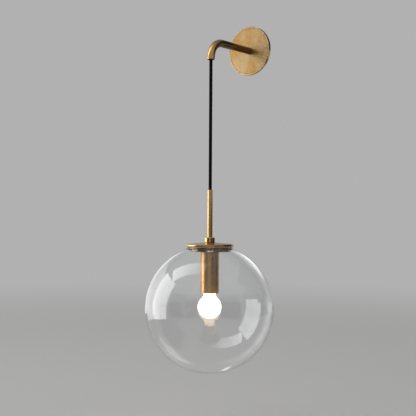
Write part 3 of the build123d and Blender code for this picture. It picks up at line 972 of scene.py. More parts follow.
@dataclass(frozen=True)
class Edge:
    """A band beside an edge of a turned piece: a darker band, or metal worn bright by rubbing that on some
    pieces also carries a painted highlight.
    """

    measure: Measure
    at: float
    width: float = 0.8 * MM


@dataclass(frozen=True)
class AgedBrass(Finish):
    """Brass that has browned in clouds and specks, with turning lines, darker bands and edges worn bright
    by rubbing, which on some pieces also carry a painted highlight.
    """

    guide: StraightGuide = CORD_GUIDE
    edges: tuple[Edge, ...] = ()
    # Darker brown bands at set places, used just inside the plate's rim.
    dark_bands: tuple[Edge, ...] = ()
    bright: Colour = (0.72, 0.43, 0.15)
    mellow: Colour = (0.54, 0.29, 0.08)
    brown: Colour = (0.22, 0.095, 0.028)
    # Metal worn bright by rubbing; on the plate's rim and the arm's bend this colour also paints a
    # highlight.
    rub_and_highlight: Colour = (0.82, 0.58, 0.28)
    hazed: Colour = (0.62, 0.43, 0.20)
    edge_tint: Colour = (0.88, 0.74, 0.54)
    lacquer: float = 0.8
    lacquer_roughness: float = 0.14
    cloud_size: float = 16 * MM
    speck_size: float = 1.1 * MM
    browning: float = 0.35
    haze: float = 0.5
    haze_scale: float = 2.6
    haze_span: tuple[float, float] = (0.42, 0.6)
    relief: float = 0.3
    relief_depth: float = 0.05 * MM
    relief_weights: tuple[float, float] = (0.92, 0.08)
    line_measure: Measure = Measure.ALONG
    line_spacing: float = 0.5 * MM
    line_breaks: float = 7.0
    line_tint: float = 0.12
    roughness: float = 0.3
    cloud_roughness: float = 0.12
    brown_roughness: float = 0.25
    dark_band_share: float = 0.55
    dark_band_roughness: float = 0.1
    rub_and_highlight_share: float = 0.85
    rub_and_highlight_roughness: float = -0.1
    seed: tuple[float, float, float] = (0.0, 0.0, 0.0)

    def wire(self, pen: NodePen, place: Socket) -> Socket:
        """Mixes the tones of brass by the patina, then marks the darker bands and the edges worn bright by
        rubbing, some of which also carry a painted highlight.

        Args:
            pen: The material's pen.
            place: The object coordinates.

        Returns:
            The surface shader.
        """
        where = place_round(pen, place, self.guide)
        patina = PATINA.place(pen, {
            "Place": place, "Seed": self.seed, "Cloud Size": self.cloud_size,
            "Speck Size": self.speck_size})
        lines = TURNED_LINES.place(pen, {
            "Across": where[self.line_measure.value], "Around": where["Around"],
            "Spacing": self.line_spacing, "Breaks": self.line_breaks})
        colour = pen.tint(patina["Cloud"], self.bright, self.mellow)
        haze_size = self.haze_scale * self.cloud_size
        breath = pen.span(pen.noise(place, haze_size, detail=2.0, roughness=0.5), *self.haze_span)
        colour = pen.tint(pen.times(breath, self.haze), colour, self.hazed)
        colour = pen.tint(pen.times(lines["Line"], self.line_tint), colour, self.mellow)
        browned = pen.times(pen.times(patina["Speck"], patina["Cloud"]), self.browning)
        colour = pen.tint(browned, colour, self.brown)
        roughness = pen.plus(self.roughness, pen.times(patina["Cloud"], self.cloud_roughness))
        roughness = pen.plus(roughness, pen.times(browned, self.brown_roughness))
        # Darker bands first, then bands worn bright by rubbing, which on the plate's rim and the arm's
        # bend also paint a highlight.
        bands = [(edge, self.brown, self.dark_band_share, self.dark_band_roughness) for edge in self.dark_bands]
        bands += [(edge, self.rub_and_highlight, self.rub_and_highlight_share, self.rub_and_highlight_roughness) for edge in self.edges]
        for edge, tone, share, rougher in bands:
            mask = EDGE_BAND.place(pen, {
                "Place": place, "Measure": where[edge.measure.value], "Edge": edge.at,
                "Width": edge.width})["Mask"]
            colour = pen.tint(pen.times(mask, share), colour, tone)
            roughness = pen.plus(roughness, pen.times(mask, rougher))
        height = pen.weighed(*zip((patina["Height"], lines["Line"]), self.relief_weights))
        return pen.surface({
            "Base Color": colour, "Metallic": 1.0, "Roughness": roughness,
            "Specular Tint": self.edge_tint, "Coat Weight": self.lacquer,
            "Coat Roughness": self.lacquer_roughness,
            "Normal": pen.bump(height, self.relief_depth, self.relief)})


@dataclass(frozen=True)
class WorkedMetal(Finish):
    """Plated, sprung or rolled metal with a fine grain and handling marks."""

    light: Colour = (0.66, 0.67, 0.68)
    dull: Colour = (0.46, 0.47, 0.49)
    least_roughness: float = 0.22
    most_roughness: float = 0.42
    grain_size: float = 3 * MM
    grain_depth: float = 0.02 * MM
    smear_scale: float = 4
    scratches_in_grain: float = 6
    tone_weights: tuple[float, float] = (0.45, 0.5)
    scratch_strength: float = 0.6

    def wire(self, pen: NodePen, place: Socket) -> Socket:
        """Varies tone and roughness in crystal-like flecks and soft smears.

        Args:
            pen: The material's pen.
            place: The object coordinates.

        Returns:
            The surface shader.
        """
        fleck = pen.add("ShaderNodeTexVoronoi", {
            "Vector": place, "Scale": 1 / self.grain_size, "Randomness": 1.0}, feature="F1")
        shade = pen.add("ShaderNodeSeparateColor", {"Color": fleck.outputs["Color"]}).outputs[0]
        handled = HANDLING.place(pen, {
            "Place": place, "Size": self.smear_scale * self.grain_size,
            "Least": self.least_roughness, "Most": self.most_roughness})
        share = pen.weighed(*zip((shade, handled["Smear"]), self.tone_weights))
        scratches = pen.noise(place, self.grain_size / self.scratches_in_grain, roughness=0.7)
        return pen.surface({
            "Base Color": pen.tint(share, self.light, self.dull), "Metallic": 1.0,
            "Roughness": handled["Roughness"],
            "Normal": pen.bump(scratches, self.grain_depth, self.scratch_strength)})


@dataclass(frozen=True)
class Moulded(Finish):
    """Moulded or extruded plastic, rubber or insulation, with a fine skin and faint streaks."""

    colour: Colour = (0.02, 0.02, 0.02)
    shaded: Colour = (0.012, 0.012, 0.012)
    least_roughness: float = 0.35
    most_roughness: float = 0.5
    skin_size: float = 0.5 * MM
    skin_depth: float = 0.03 * MM
    skin_strength: float = 0.5
    streak_scale: float = 12
    streak_span: tuple[float, float] = (0.35, 0.65)
    smear_scale: float = 10

    def base(self, pen: NodePen, place: Socket) -> Socket:
        """Gives the colour, which streaks between two close tones."""
        streak = pen.noise(place, self.streak_scale * self.skin_size, detail=4.0, roughness=0.6)
        return pen.tint(pen.span(streak, *self.streak_span), self.colour, self.shaded)

    def wire(self, pen: NodePen, place: Socket) -> Socket:
        """Gives the skin its streaks, its changing gloss and a fine grain.

        Args:
            pen: The material's pen.
            place: The object coordinates.

        Returns:
            The surface shader.
        """
        handled = HANDLING.place(pen, {
            "Place": place, "Size": self.smear_scale * self.skin_size,
            "Least": self.least_roughness, "Most": self.most_roughness})
        skin = pen.noise(place, self.skin_size, detail=2.0)
        return pen.surface({
            "Base Color": self.base(pen, place), "Roughness": handled["Roughness"],
            "Normal": pen.bump(skin, self.skin_depth, self.skin_strength)})


@dataclass(frozen=True)
class StripedInsulation(Moulded):
    """Core insulation in two colours, one on each side of the core."""

    second: Colour = (0.75, 0.62, 0.03)
    border_at: float = 0.15 * MM
    border_softness: float = 0.05 * MM
    waver_size: float = 2 * MM
    waver: float = 0.3 * MM

    def base(self, pen: NodePen, place: Socket) -> Socket:
        """Splits the two colours near X = 0 with a slightly wavy border.

        Args:
            pen: The material's pen.
            place: The object coordinates.

        Returns:
            The colour's socket.
        """
        sideways = pen.add("ShaderNodeSeparateXYZ", {"Vector": place}).outputs["X"]
        waver = pen.times(pen.noise(place, self.waver_size), self.waver)
        border = pen.minus(pen.plus(sideways, waver), self.border_at)
        side = pen.span(border, -self.border_softness, self.border_softness)
        return pen.tint(side, self.colour, self.second)


@dataclass(frozen=True)
class BraidedTextile(Finish):
    """Black braided sleeving, with its strands and loose fibres."""

    guide: StraightGuide = CORD_GUIDE
    braid: Braid = Braid()
    strand_bump: bool = True
    thread: Colour = (0.0035, 0.003, 0.0028)
    worn: Colour = (0.009, 0.008, 0.0074)
    gap: Colour = (0.001, 0.001, 0.001)
    wear_share: float = 0.8
    gap_span: tuple[float, float] = (0.1, 0.65)
    fibre_size: float = 0.25 * MM
    fibre_depth: float = 0.05 * MM
    fibre_span: tuple[float, float] = (0.2, 0.8)
    least_roughness: float = 0.62
    most_roughness: float = 0.85
    bump_strength: float = 0.8

    def wire(self, pen: NodePen, place: Socket) -> Socket:
        """Shades the strands by their height and roughens them with fibres.

        Args:
            pen: The material's pen.
            place: The object coordinates.

        Returns:
            The surface shader.
        """
        where = place_round(pen, place, self.guide)
        weave = WEAVE.place(pen, {
            "Around": where["Around"], "Along": where["Along"], "Strands": float(self.braid.strands),
            "Pitch": self.braid.pitch})
        fibres = pen.noise(place, self.fibre_size, roughness=0.7)
        lit = pen.tint(pen.times(fibres, self.wear_share), self.thread, self.worn)
        colour = pen.tint(pen.span(weave["Height"], *self.gap_span), self.gap, lit)
        depth = self.braid.depth if self.strand_bump else 0.0
        height = pen.weighed((weave["Height"], depth), (fibres, self.fibre_depth))
        roughness = pen.span(fibres, *self.fibre_span, self.least_roughness, self.most_roughness)
        return pen.surface({
            "Base Color": colour, "Roughness": roughness, "Specular IOR Level": 0.08,
            "Sheen Weight": 0.015, "Sheen Roughness": 0.4,
            "Normal": pen.bump(height, 1.0, self.bump_strength)})


@dataclass(frozen=True)
class ClearGlass(Finish):
    """Clear blown glass with a faint unevenness from blowing, which lets lamps shine through."""

    colour: Colour = (0.985, 0.99, 0.99)
    through: Colour = (0.93, 0.94, 0.94)
    ior: float = 1.5
    blow_size: float = 55 * MM
    blow_depth: float = 0.05 * MM

    def wire(self, pen: NodePen, place: Socket) -> Socket:
        """Bends sight through glass, and light for shadows straight through it.

        Args:
            pen: The material's pen.
            place: The object coordinates.

        Returns:
            The surface shader.
        """
        uneven = pen.noise(place, self.blow_size, detail=1.0, roughness=0.4)
        glass = pen.surface({
            "Base Color": self.colour, "Metallic": 0.0, "Roughness": 0.0, "IOR": self.ior,
            "Transmission Weight": 1.0, "Normal": pen.bump(uneven, self.blow_depth)})
        clear = pen.add("ShaderNodeBsdfTransparent", {"Color": self.through})
        shadow = pen.add("ShaderNodeLightPath").outputs["Is Shadow Ray"]
        return pen.mixed(shadow, glass, clear.outputs[0])


@dataclass(frozen=True)
class GlowingOpal(Finish):
    """Opal glass lit from inside, hottest near the filaments and warmer towards the neck."""

    heart: Vector = field(default_factory=Vector)
    reach: float = 36 * MM
    hot_share: float = 0.55
    cloud_size: float = 6 * MM
    cloud_reach: float = 3 * MM
    cloud_shade: float = 0.94
    smear_size: float = 12 * MM
    least_roughness: float = 0.12
    most_roughness: float = 0.24
    body: Colour = (0.92, 0.88, 0.80)
    hot: Colour = (1.0, 0.84, 0.58)
    warm: Colour = (1.0, 0.62, 0.28)
    strength: float = 5.0

    def wire(self, pen: NodePen, place: Socket) -> Socket:
        """Fades the light by distance from the lamp's heart, with a faint cloudiness in the opal.

        Args:
            pen: The material's pen.
            place: The object coordinates.

        Returns:
            The surface shader.
        """
        away = pen.vector("DISTANCE", place, tuple(self.heart)).outputs["Value"]
        cloudy = pen.noise(place, self.cloud_size, detail=2.0, roughness=0.5)
        reached = pen.plus(away, pen.times(cloudy, self.cloud_reach))
        light = pen.tint(pen.span(reached, self.hot_share * self.reach, self.reach), self.hot, self.warm)
        handled = HANDLING.place(pen, {
            "Place": place, "Size": self.smear_size, "Least": self.least_roughness,
            "Most": self.most_roughness})
        return pen.surface({
            "Base Color": pen.tint(cloudy, self.body, darkened(self.body, self.cloud_shade)),
            "Roughness": handled["Roughness"], "Emission Color": light,
            "Emission Strength": self.strength})


@dataclass(frozen=True)
class Phosphor(Finish):
    """Yellow phosphor on a lamp filament, in close beads."""

    colour: Colour = (0.9, 0.62, 0.18)
    light: Colour = (1.0, 0.72, 0.34)
    strength: float = 6.0
    bead: float = 1.2 * MM
    bead_span: tuple[float, float] = (-0.6, 0.6)
    dim_share: float = 0.5
    dark_share: float = 0.6
    least_roughness: float = 0.5
    most_roughness: float = 0.65

    def wire(self, pen: NodePen, place: Socket) -> Socket:
        """Bands the light into beads along the filament's height.

        Args:
            pen: The material's pen.
            place: The object coordinates.

        Returns:
            The surface shader.
        """
        height = pen.add("ShaderNodeSeparateXYZ", {"Vector": place}).outputs["Z"]
        band = pen.maths("SINE", pen.times(height, 2 * math.pi / self.bead))
        beads = pen.span(band, *self.bead_span)
        return pen.surface({
            "Base Color": pen.tint(beads, darkened(self.colour, self.dark_share), self.colour),
            "Roughness": pen.span(beads, 0.0, 1.0, self.least_roughness, self.most_roughness),
            "Emission Color": pen.tint(beads, darkened(self.light, self.dim_share), self.light),
            "Emission Strength": self.strength})


def wear(piece: bpy.types.Object, finish: Finish) -> None:
    """Gives a piece one finish all over.

    Args:
        piece: The piece.
        finish: Its finish.
    """
    material = finish.make()
    if piece.material_slots:
        for slot in piece.material_slots:
            slot.material = material
    else:
        piece.data.materials.append(material)


def report(piece: bpy.types.Object) -> None:
    """Logs a piece's name, body and number of faces."""
    body = ", ".join(body_of(piece) or ["none"])
    LOG.info("%s: body %s, %d faces", piece.name, body, len(piece.data.polygons))


@dataclass
class SubAssembly(ABC):
    """Pieces of the light that ride on one body."""

    body: str

    @abstractmethod
    def build(self) -> None:
        """Builds the pieces that take the place of plain nodes."""

    @abstractmethod
    def dress(self) -> None:
        """Gives every piece and every kept node its finish."""

    def stand_for(self, piece: bpy.types.Object, slot: str, *nodes: str) -> bpy.types.Object:
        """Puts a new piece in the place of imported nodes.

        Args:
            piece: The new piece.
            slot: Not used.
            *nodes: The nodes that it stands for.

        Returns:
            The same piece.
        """
        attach(piece, self.body)
        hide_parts(*nodes)
        return piece

    def dress_nodes(self, finishes: dict[str, Finish]) -> None:
        """Gives kept nodes their finishes and reports them.

        Args:
            finishes: Each node's finish by the node's name.
        """
        for node, finish in finishes.items():
            wear(frame["nodes"][node], finish)
            report(frame["nodes"][node])


ZINC = WorkedMetal("zinc plate")
BLACK_STEEL = WorkedMetal(
    "blackened screw steel", light=(0.16, 0.15, 0.14), dull=(0.08, 0.075, 0.07),
    least_roughness=0.3, most_roughness=0.5, grain_size=1 * MM)
SPRING = WorkedMetal(
    "spring steel", light=(0.55, 0.55, 0.56), dull=(0.42, 0.42, 0.44), grain_size=1.5 * MM)
NICKEL = WorkedMetal(
    "nickel plate", light=(0.74, 0.72, 0.68), dull=(0.6, 0.58, 0.54),
    least_roughness=0.14, most_roughness=0.3, grain_size=2 * MM)
CONTACT = WorkedMetal(
    "contact brass", light=(0.78, 0.58, 0.28), dull=(0.6, 0.42, 0.18),
    least_roughness=0.2, most_roughness=0.38, grain_size=1.5 * MM)
NYLON = Moulded(
    "black nylon", colour=(0.008, 0.008, 0.008), shaded=(0.005, 0.005, 0.005),
    least_roughness=0.45, most_roughness=0.6)
HOLDER_PLASTIC = Moulded(
    "white holder plastic", colour=(0.78, 0.76, 0.71), shaded=(0.7, 0.675, 0.62),
    least_roughness=0.22, most_roughness=0.36)
BLOCK_PLASTIC = Moulded(
    "terminal block plastic", colour=(0.74, 0.73, 0.69), shaded=(0.66, 0.645, 0.6),
    least_roughness=0.3, most_roughness=0.45)
BLACK_GLASS = Moulded(
    "black cap glass", colour=(0.012, 0.012, 0.014), shaded=(0.02, 0.02, 0.022),
    least_roughness=0.06, most_roughness=0.16, skin_depth=0.01 * MM)
SILICONE = Moulded(
    "silicone", colour=(0.6, 0.6, 0.58), shaded=(0.5, 0.5, 0.48),
    least_roughness=0.4, most_roughness=0.55)
MOUNT_GLASS = Moulded(
    "mount glass", colour=(0.8, 0.8, 0.78), shaded=(0.72, 0.72, 0.7),
    least_roughness=0.08, most_roughness=0.18, skin_depth=0.01 * MM)
BROWN_CORE = Moulded(
    "brown core", colour=(0.12, 0.042, 0.016), shaded=(0.09, 0.032, 0.012),
    least_roughness=0.3, most_roughness=0.42, skin_size=0.3 * MM)
BLUE_CORE = Moulded(
    "blue core", colour=(0.03, 0.12, 0.42), shaded=(0.024, 0.095, 0.33),
    least_roughness=0.3, most_roughness=0.42, skin_size=0.3 * MM)
EARTH_CORE = StripedInsulation(
    "green and yellow core", colour=(0.03, 0.28, 0.06),
    least_roughness=0.3, most_roughness=0.42, skin_size=0.3 * MM)


@dataclass
class WallMount(SubAssembly):
    """The plate on its bracket, the bent arm and the wiring behind it."""

    body: str = "wall_mount"
    bend_radius: float = 34 * MM
    bend_step: float = 1.6 * MM
    wall: float = 2 * MM
    edge_round: float = 0.3 * MM
    tail_round: float = 0.5 * MM
    mouth_round: float = 0.5 * MM
    thread_pitch: float = 1 * MM
    thread_depth: float = 0.35 * MM
    rings_each_turn: int = 8
    rear_setback: float = 0.4 * MM
    tail_inset: float = 0.5 * MM
    plate_bevel: float = 0.9 * MM
    # Width of the plate's bright rim band: wear from rubbing, and a painted highlight for the light the
    # rim's edge catches.
    rim_rub_and_highlight: float = 2.2 * MM
    # A darker brown band just inside the plate's rim.
    dark_band_inset: float = 3.6 * MM
    dark_band_width: float = 1.5 * MM
    # Length of the bright band round the arm's bend: partly wear from rubbing, partly a painted highlight.
    bend_rub_and_highlight_length: float = 26 * MM
    arm_segments: int = 72
    arm: bpy.types.Object | None = None

    def build(self) -> None:
        """Builds the arm as one bent tube with a threaded tail through the plate."""
        tube, plate = Extent.of("arm_tube"), Extent.of("backplate")
        radius, bore = tube.radius, tube.radius - self.wall
        tail_radius = radius - self.tail_inset
        guide = ArmGuide(-CORD_AXIS.y, self.bend_radius)
        front = -plate.low.y
        mouth = guide.bend_start + guide.bend_length + (-tube.low.z - self.bend_radius)
        outline = rounded([
            (bore, self.rear_setback, self.edge_round),
            (tail_radius, self.rear_setback, self.tail_round),
            (tail_radius, front, 0),
            (radius, front, self.edge_round),
            (radius, mouth, self.mouth_round),
            (bore, mouth, self.mouth_round),
        ])
        outline = divided(outline, self.thread_pitch / self.rings_each_turn, self.rear_setback, front)
        outline = divided(outline, self.bend_step, guide.bend_start, guide.bend_start + guide.bend_length)
        thread = Thread(
            start=self.rear_setback, end=front, pitch=self.thread_pitch, depth=-self.thread_depth,
            least_radius=tail_radius - THREAD_MARGIN, most_radius=tail_radius + THREAD_MARGIN)
        bent = turned_piece("arm", outline, guide, segments=self.arm_segments, relief=thread)
        self.arm = self.stand_for(bent, "aged_brass", "arm_tube")

    def dress(self) -> None:
        """Finishes the arm, the plate and every piece behind them."""
        tube, plate = Extent.of("arm_tube"), Extent.of("backplate")
        bend_top = -CORD_AXIS.y + tube.radius
        # Painted shade: the arm's brass is darkened to a dark brown, standing in for the dark surroundings
        # that its level run reflects; the bright band round the bend is partly wear from rubbing and
        # partly a painted highlight.
        wear(self.arm, AgedBrass(
            "arm brass painted dark", guide=WALL_GUIDE, seed=(0.31, 0.07, 0.12),
            bright=(0.24, 0.13, 0.04), mellow=(0.09, 0.046, 0.014), rub_and_highlight=(0.72, 0.42, 0.14),
            browning=0.8, cloud_size=22 * MM, haze=0.05, roughness=0.28, relief=0.15,
            edges=(Edge(Measure.ALONG, bend_top, self.bend_rub_and_highlight_length),)))
        report(self.arm)
        plate_brass = AgedBrass(
            "plate brass", guide=WALL_GUIDE, seed=(0.02, 0.4, 0.1),
            line_measure=Measure.RADIUS, line_spacing=0.7 * MM,
            bright=(0.47, 0.29, 0.10), mellow=(0.34, 0.185, 0.052), rub_and_highlight=(0.66, 0.47, 0.24),
            hazed=(0.46, 0.33, 0.17), browning=0.6, cloud_size=15 * MM, haze=0.75, roughness=0.27,
            # Painted highlight, partly wear from rubbing: a wide bright band round the rim stands in for
            # the light that the rim's edge catches.
            edges=(Edge(Measure.RADIUS, plate.radius - self.plate_bevel / 2, self.rim_rub_and_highlight),),
            # A darker brown band just inside the rim.
            dark_bands=(Edge(Measure.RADIUS, plate.radius - self.dark_band_inset, self.dark_band_width),))
        self.dress_nodes({
            "backplate": plate_brass,
            "wall_bracket": ZINC,
            "arm_washer": ZINC,
            "arm_lock_nut": ZINC,
            "plate_grub_screws": BLACK_STEEL,
            "outlet_bushing": NYLON,
            "arm_cord": BraidedTextile("arm cord braid", guide=WALL_GUIDE),
            "cord_stop_collar": ZINC,
            "cord_stop_screw": BLACK_STEEL,
            "live_core": BROWN_CORE,
            "neutral_core": BLUE_CORE,
            "earth_core": EARTH_CORE,
            "earth_lug": NICKEL,
            "earth_screw": CONTACT,
            "terminal_block": BLOCK_PLASTIC,
            "terminal_screws": ZINC,
            "terminal_fixing_screw": ZINC,
        })


@dataclass
class HangingCord(SubAssembly):
    """The braided cord between the arm's outlet and the stem, and the neck that it swings on."""

    body: str = "cord"
    braid: Braid = Braid()
    rings_each_strand: int = 8
    facets_each_strand: int = 8
    route_steps: int = 24
    bend_lengths: float = 6.0
    end_gap: float = 0.05 * MM
    piece: bpy.types.Object | None = None

    @property
    def diameter(self) -> float:
        """The cord's diameter."""
        return 6.5 * MM

    def route(self) -> list[Vector]:
        """Leads the cord from the outlet down to the stem: one straight run, held near each end.

        Returns:
            The route's points.
        """
        outlet = Vector((0.0, -0.133, -0.037))
        stem = Vector((0.0, -0.133, -0.2904))
        run = Vector((0, 0, self.bend_lengths * self.diameter))
        return [outlet, outlet - run, stem + run, stem]

    def line(self) -> np.ndarray:
        """Reads close points from the route's smooth spline.

        Returns:
            The points, one row for each.
        """
        curve = bpy.data.curves.new("cord_route", "CURVE")
        curve.dimensions = "3D"
        curve.resolution_u = self.route_steps
        spline = curve.splines.new("NURBS")
        points = self.route()
        spline.points.add(len(points) - 1)
        for target, point in zip(spline.points, points):
            target.co = (*point, 1.0)
        spline.order_u = 3
        spline.use_endpoint_u = True
        holder = bpy.data.objects.new("cord_route", curve)
        mesh = bpy.data.meshes.new_from_object(holder)
        line = np.array([vertex.co for vertex in mesh.vertices])
        bpy.data.meshes.remove(mesh)
        bpy.data.objects.remove(holder)
        bpy.data.curves.remove(curve)
        return line

    def build(self) -> None:
        """Builds the cord as a tube whose strands stand out of it."""
        line = self.line()
        guide = RouteGuide(line)
        radius = self.diameter / 2
        end = guide.length - self.end_gap
        outline = [(0.0, 0.0), (radius, 0.0), (radius, end), (0.0, end)]
        ring_step = self.braid.pitch / self.braid.strands / self.rings_each_strand
        outline = divided(outline, ring_step, 0.0, end)
        segments = self.braid.strands * self.facets_each_strand
        tube = turned_piece("braided_cord", outline, guide, segments=segments, relief=self.braid)
        self.piece = self.stand_for(tube, "black_braid", "hanging_cord")

    def dress(self) -> None:
        """Gives the cord and its neck the same sleeving."""
        wear(self.piece, BraidedTextile("cord braid", braid=self.braid, strand_bump=False))
        report(self.piece)
        self.dress_nodes({"cord_neck": BraidedTextile("neck braid", braid=self.braid)})


@dataclass
class Pendant(SubAssembly):
    """The stem, the cap and gallery that carry the glass, and the cup with the lamp holder in it."""

    body: str = "pendant"
    stem_wall: float = 1 * MM
    stem_foot_round: float = 0.3 * MM
    stem_thread_pitch: float = 1 * MM
    stem_thread_depth: float = 0.3 * MM
    stem_rings_each_turn: int = 6
    fine_round: float = 0.2 * MM
    edge_round: float = 0.4 * MM
    hole_gap: float = 0.1 * MM
    cap_rise: float = 3.2 * MM
    cap_edge_round: float = 2.1 * MM
    cap_slope_round: float = 1.5 * MM
    cap_recess_round: float = 0.3 * MM
    cap_seat_inset: float = 2.4 * MM
    cup_wall: float = 1.5 * MM
    cup_edge_round: float = 0.6 * MM
    shell_wall: float = 0.6 * MM
    shell_thread_pitch: float = 2.82 * MM
    shell_thread_depth: float = 0.4 * MM
    shell_rings_each_turn: int = 10
    brass_rub: float = 0.9 * MM
    cap_rub: float = 1.2 * MM
    cup_rub: float = 0.7 * MM
    pieces: dict[str, bpy.types.Object] = field(default_factory=dict)

    def keep(self, piece: bpy.types.Object, slot: str, node: str) -> None:
        """Sets a new piece in the place of one node and remembers it."""
        self.pieces[node] = self.stand_for(piece, slot, node)

    def build(self) -> None:
        """Builds the stem, the cap, the cup and the lamp holder's screw shell."""
        self.build_stem()
        self.build_cap()
        self.build_cup()
        self.build_shell()

    def build_stem(self) -> None:
        """Builds the stem: plain above the collar and threaded below it."""
        stem, collar = Extent.of("stem_tube"), Extent.of("stem_collar")
        bore = stem.radius - self.stem_wall
        outline = rounded([
            (bore, stem.low.z, self.fine_round),
            (stem.radius, stem.low.z, self.stem_foot_round),
            (stem.radius, stem.high.z, self.edge_round),
            (bore, stem.high.z, self.edge_round),
        ])
        ring_step = self.stem_thread_pitch / self.stem_rings_each_turn
        outline = divided(outline, ring_step, stem.low.z, collar.high.z)
        thread = Thread(
            start=stem.low.z, end=collar.high.z - self.edge_round, pitch=self.stem_thread_pitch,
            depth=-self.stem_thread_depth, least_radius=stem.radius - THREAD_MARGIN,
            most_radius=stem.radius + THREAD_MARGIN)
        tube = turned_piece("stem", outline, CORD_GUIDE, segments=48, relief=thread)
        self.keep(tube, "aged_brass", "stem_tube")

    def build_cap(self) -> None:
        """Builds the spun cap: a low cone with a round edge and a recess for the gallery."""
        cap, collar = Extent.of("cap_disc"), Extent.of("stem_collar")
        gallery, spacer = Extent.of("gallery_pan"), Extent.of("gallery_spacer")
        bore = Extent.of("stem_tube").radius + self.hole_gap
        recess = gallery.radius + self.hole_gap
        outline = rounded([
            (bore, cap.high.z, self.fine_round),
            (collar.radius, cap.high.z, self.cap_slope_round),
            (cap.radius, cap.high.z - self.cap_rise, self.cap_edge_round),
            (cap.radius, cap.low.z, self.cap_edge_round),
            (recess, cap.low.z, self.cap_recess_round),
            (recess, gallery.high.z, 0),
            (gallery.radius - self.cap_seat_inset, gallery.high.z, 0),
            (collar.radius, spacer.high.z, self.cap_slope_round),
            (bore, spacer.high.z, 0),
        ], steps=6)
        self.keep(turned_piece("cap", outline, CORD_GUIDE, segments=144), "aged_brass", "cap_disc")

    def build_cup(self) -> None:
        """Builds the cup: a drawn brass tube with a closed top."""
        cup = Extent.of("lamp_cup")
        hole, bore = Extent.of("stem_tube").radius + self.hole_gap, cup.radius - self.cup_wall
        ceiling = cup.high.z - self.cup_wall
        outline = rounded([
            (hole, cup.high.z, 0),
            (cup.radius, cup.high.z, self.cup_edge_round),
            (cup.radius, cup.low.z, self.cup_edge_round / 2),
            (bore, cup.low.z, self.cup_edge_round / 2),
            (bore, ceiling, self.cup_edge_round),
            (hole, ceiling, 0),
        ])
        self.keep(turned_piece("cup", outline, CORD_GUIDE, segments=112), "aged_brass", "lamp_cup")

    def build_shell(self) -> None:
        """Builds the holder's screw shell, a thin sheet rolled into a thread."""
        shell = Extent.of("holder_screw_shell")
        inner = shell.radius - self.shell_wall
        low, high = shell.low.z, shell.high.z
        outline = [(inner, low), (shell.radius, low), (shell.radius, high), (inner, high)]
        outline = divided(outline, self.shell_thread_pitch / self.shell_rings_each_turn, low, high)
        thread = Thread(
            start=low, end=high, pitch=self.shell_thread_pitch, depth=self.shell_thread_depth,
            least_radius=0.0, most_radius=1.0, form=ThreadForm.ROLLED)
        sheet = turned_piece("screw_shell", outline, CORD_GUIDE, segments=64, relief=thread)
        self.keep(sheet, "contact_brass", "holder_screw_shell")

    def dress(self) -> None:
        """Finishes the pendant's pieces from the stem down."""
        stem, collar, cap, cup = (
            Extent.of(node) for node in ("stem_tube", "stem_collar", "cap_disc", "lamp_cup"))
        finishes = {
            "stem_tube": AgedBrass(
                "stem brass", seed=(0.5, 0.1, 0.2), line_spacing=0.4 * MM, roughness=0.26, relief=0.06,
                edges=(Edge(Measure.ALONG, stem.high.z, self.brass_rub),)),
            "cap_disc": AgedBrass(
                "cap brass", seed=(0.2, 0.2, 0.6), line_measure=Measure.RADIUS,
                bright=(0.40, 0.21, 0.06), mellow=(0.24, 0.115, 0.028), rub_and_highlight=(0.50, 0.30, 0.11),
                cloud_size=13 * MM, browning=0.6, roughness=0.27, haze=0.2, relief=0.15,
                edges=(Edge(Measure.RADIUS, cap.radius, self.cap_rub),)),
            "lamp_cup": AgedBrass(
                "cup brass", seed=(0.7, 0.3, 0.1), bright=(0.58, 0.29, 0.07), mellow=(0.42, 0.19, 0.038),
                cloud_size=20 * MM, browning=0.45, roughness=0.28, haze=0.2, relief=0.12,
                edges=(Edge(Measure.ALONG, cup.low.z, self.cup_rub),
                       Edge(Measure.ALONG, cup.high.z, self.cup_rub))),
            "holder_screw_shell": CONTACT,
        }
        for node, finish in finishes.items():
            wear(self.pieces[node], finish)
            report(self.pieces[node])
        # Painted shade, with browned patina: the gallery sits under the cap and its brass is darkened far
        # below the other brass.
        gallery = AgedBrass(
            "gallery brass painted dark", seed=(0.1, 0.9, 0.3), bright=(0.2, 0.11, 0.04), mellow=(0.13, 0.07, 0.025),
            browning=0.8, roughness=0.34)
        collar_brass = AgedBrass(
            "collar brass", seed=(0.4, 0.6, 0.2), roughness=0.22,
            edges=(Edge(Measure.ALONG, collar.high.z, self.brass_rub),
                   Edge(Measure.ALONG, collar.low.z, self.brass_rub)))
        self.dress_nodes({
            "stem_insert": NYLON,
            "stem_cord": BraidedTextile("stem cord braid"),
            "stem_collar": collar_brass,
            "collar_grub_screw": BLACK_STEEL,
            "glass_gasket": SILICONE,
            "gallery_pan": gallery,
            "gallery_spacer": gallery,
            "spring_clips": SPRING,
            "clip_rivets": CONTACT,
            "cup_lock_nut": ZINC,
            "holder_cap": HOLDER_PLASTIC,
            "holder_body": HOLDER_PLASTIC,
            "holder_contact": CONTACT,
            "holder_leads": BROWN_CORE,
        })


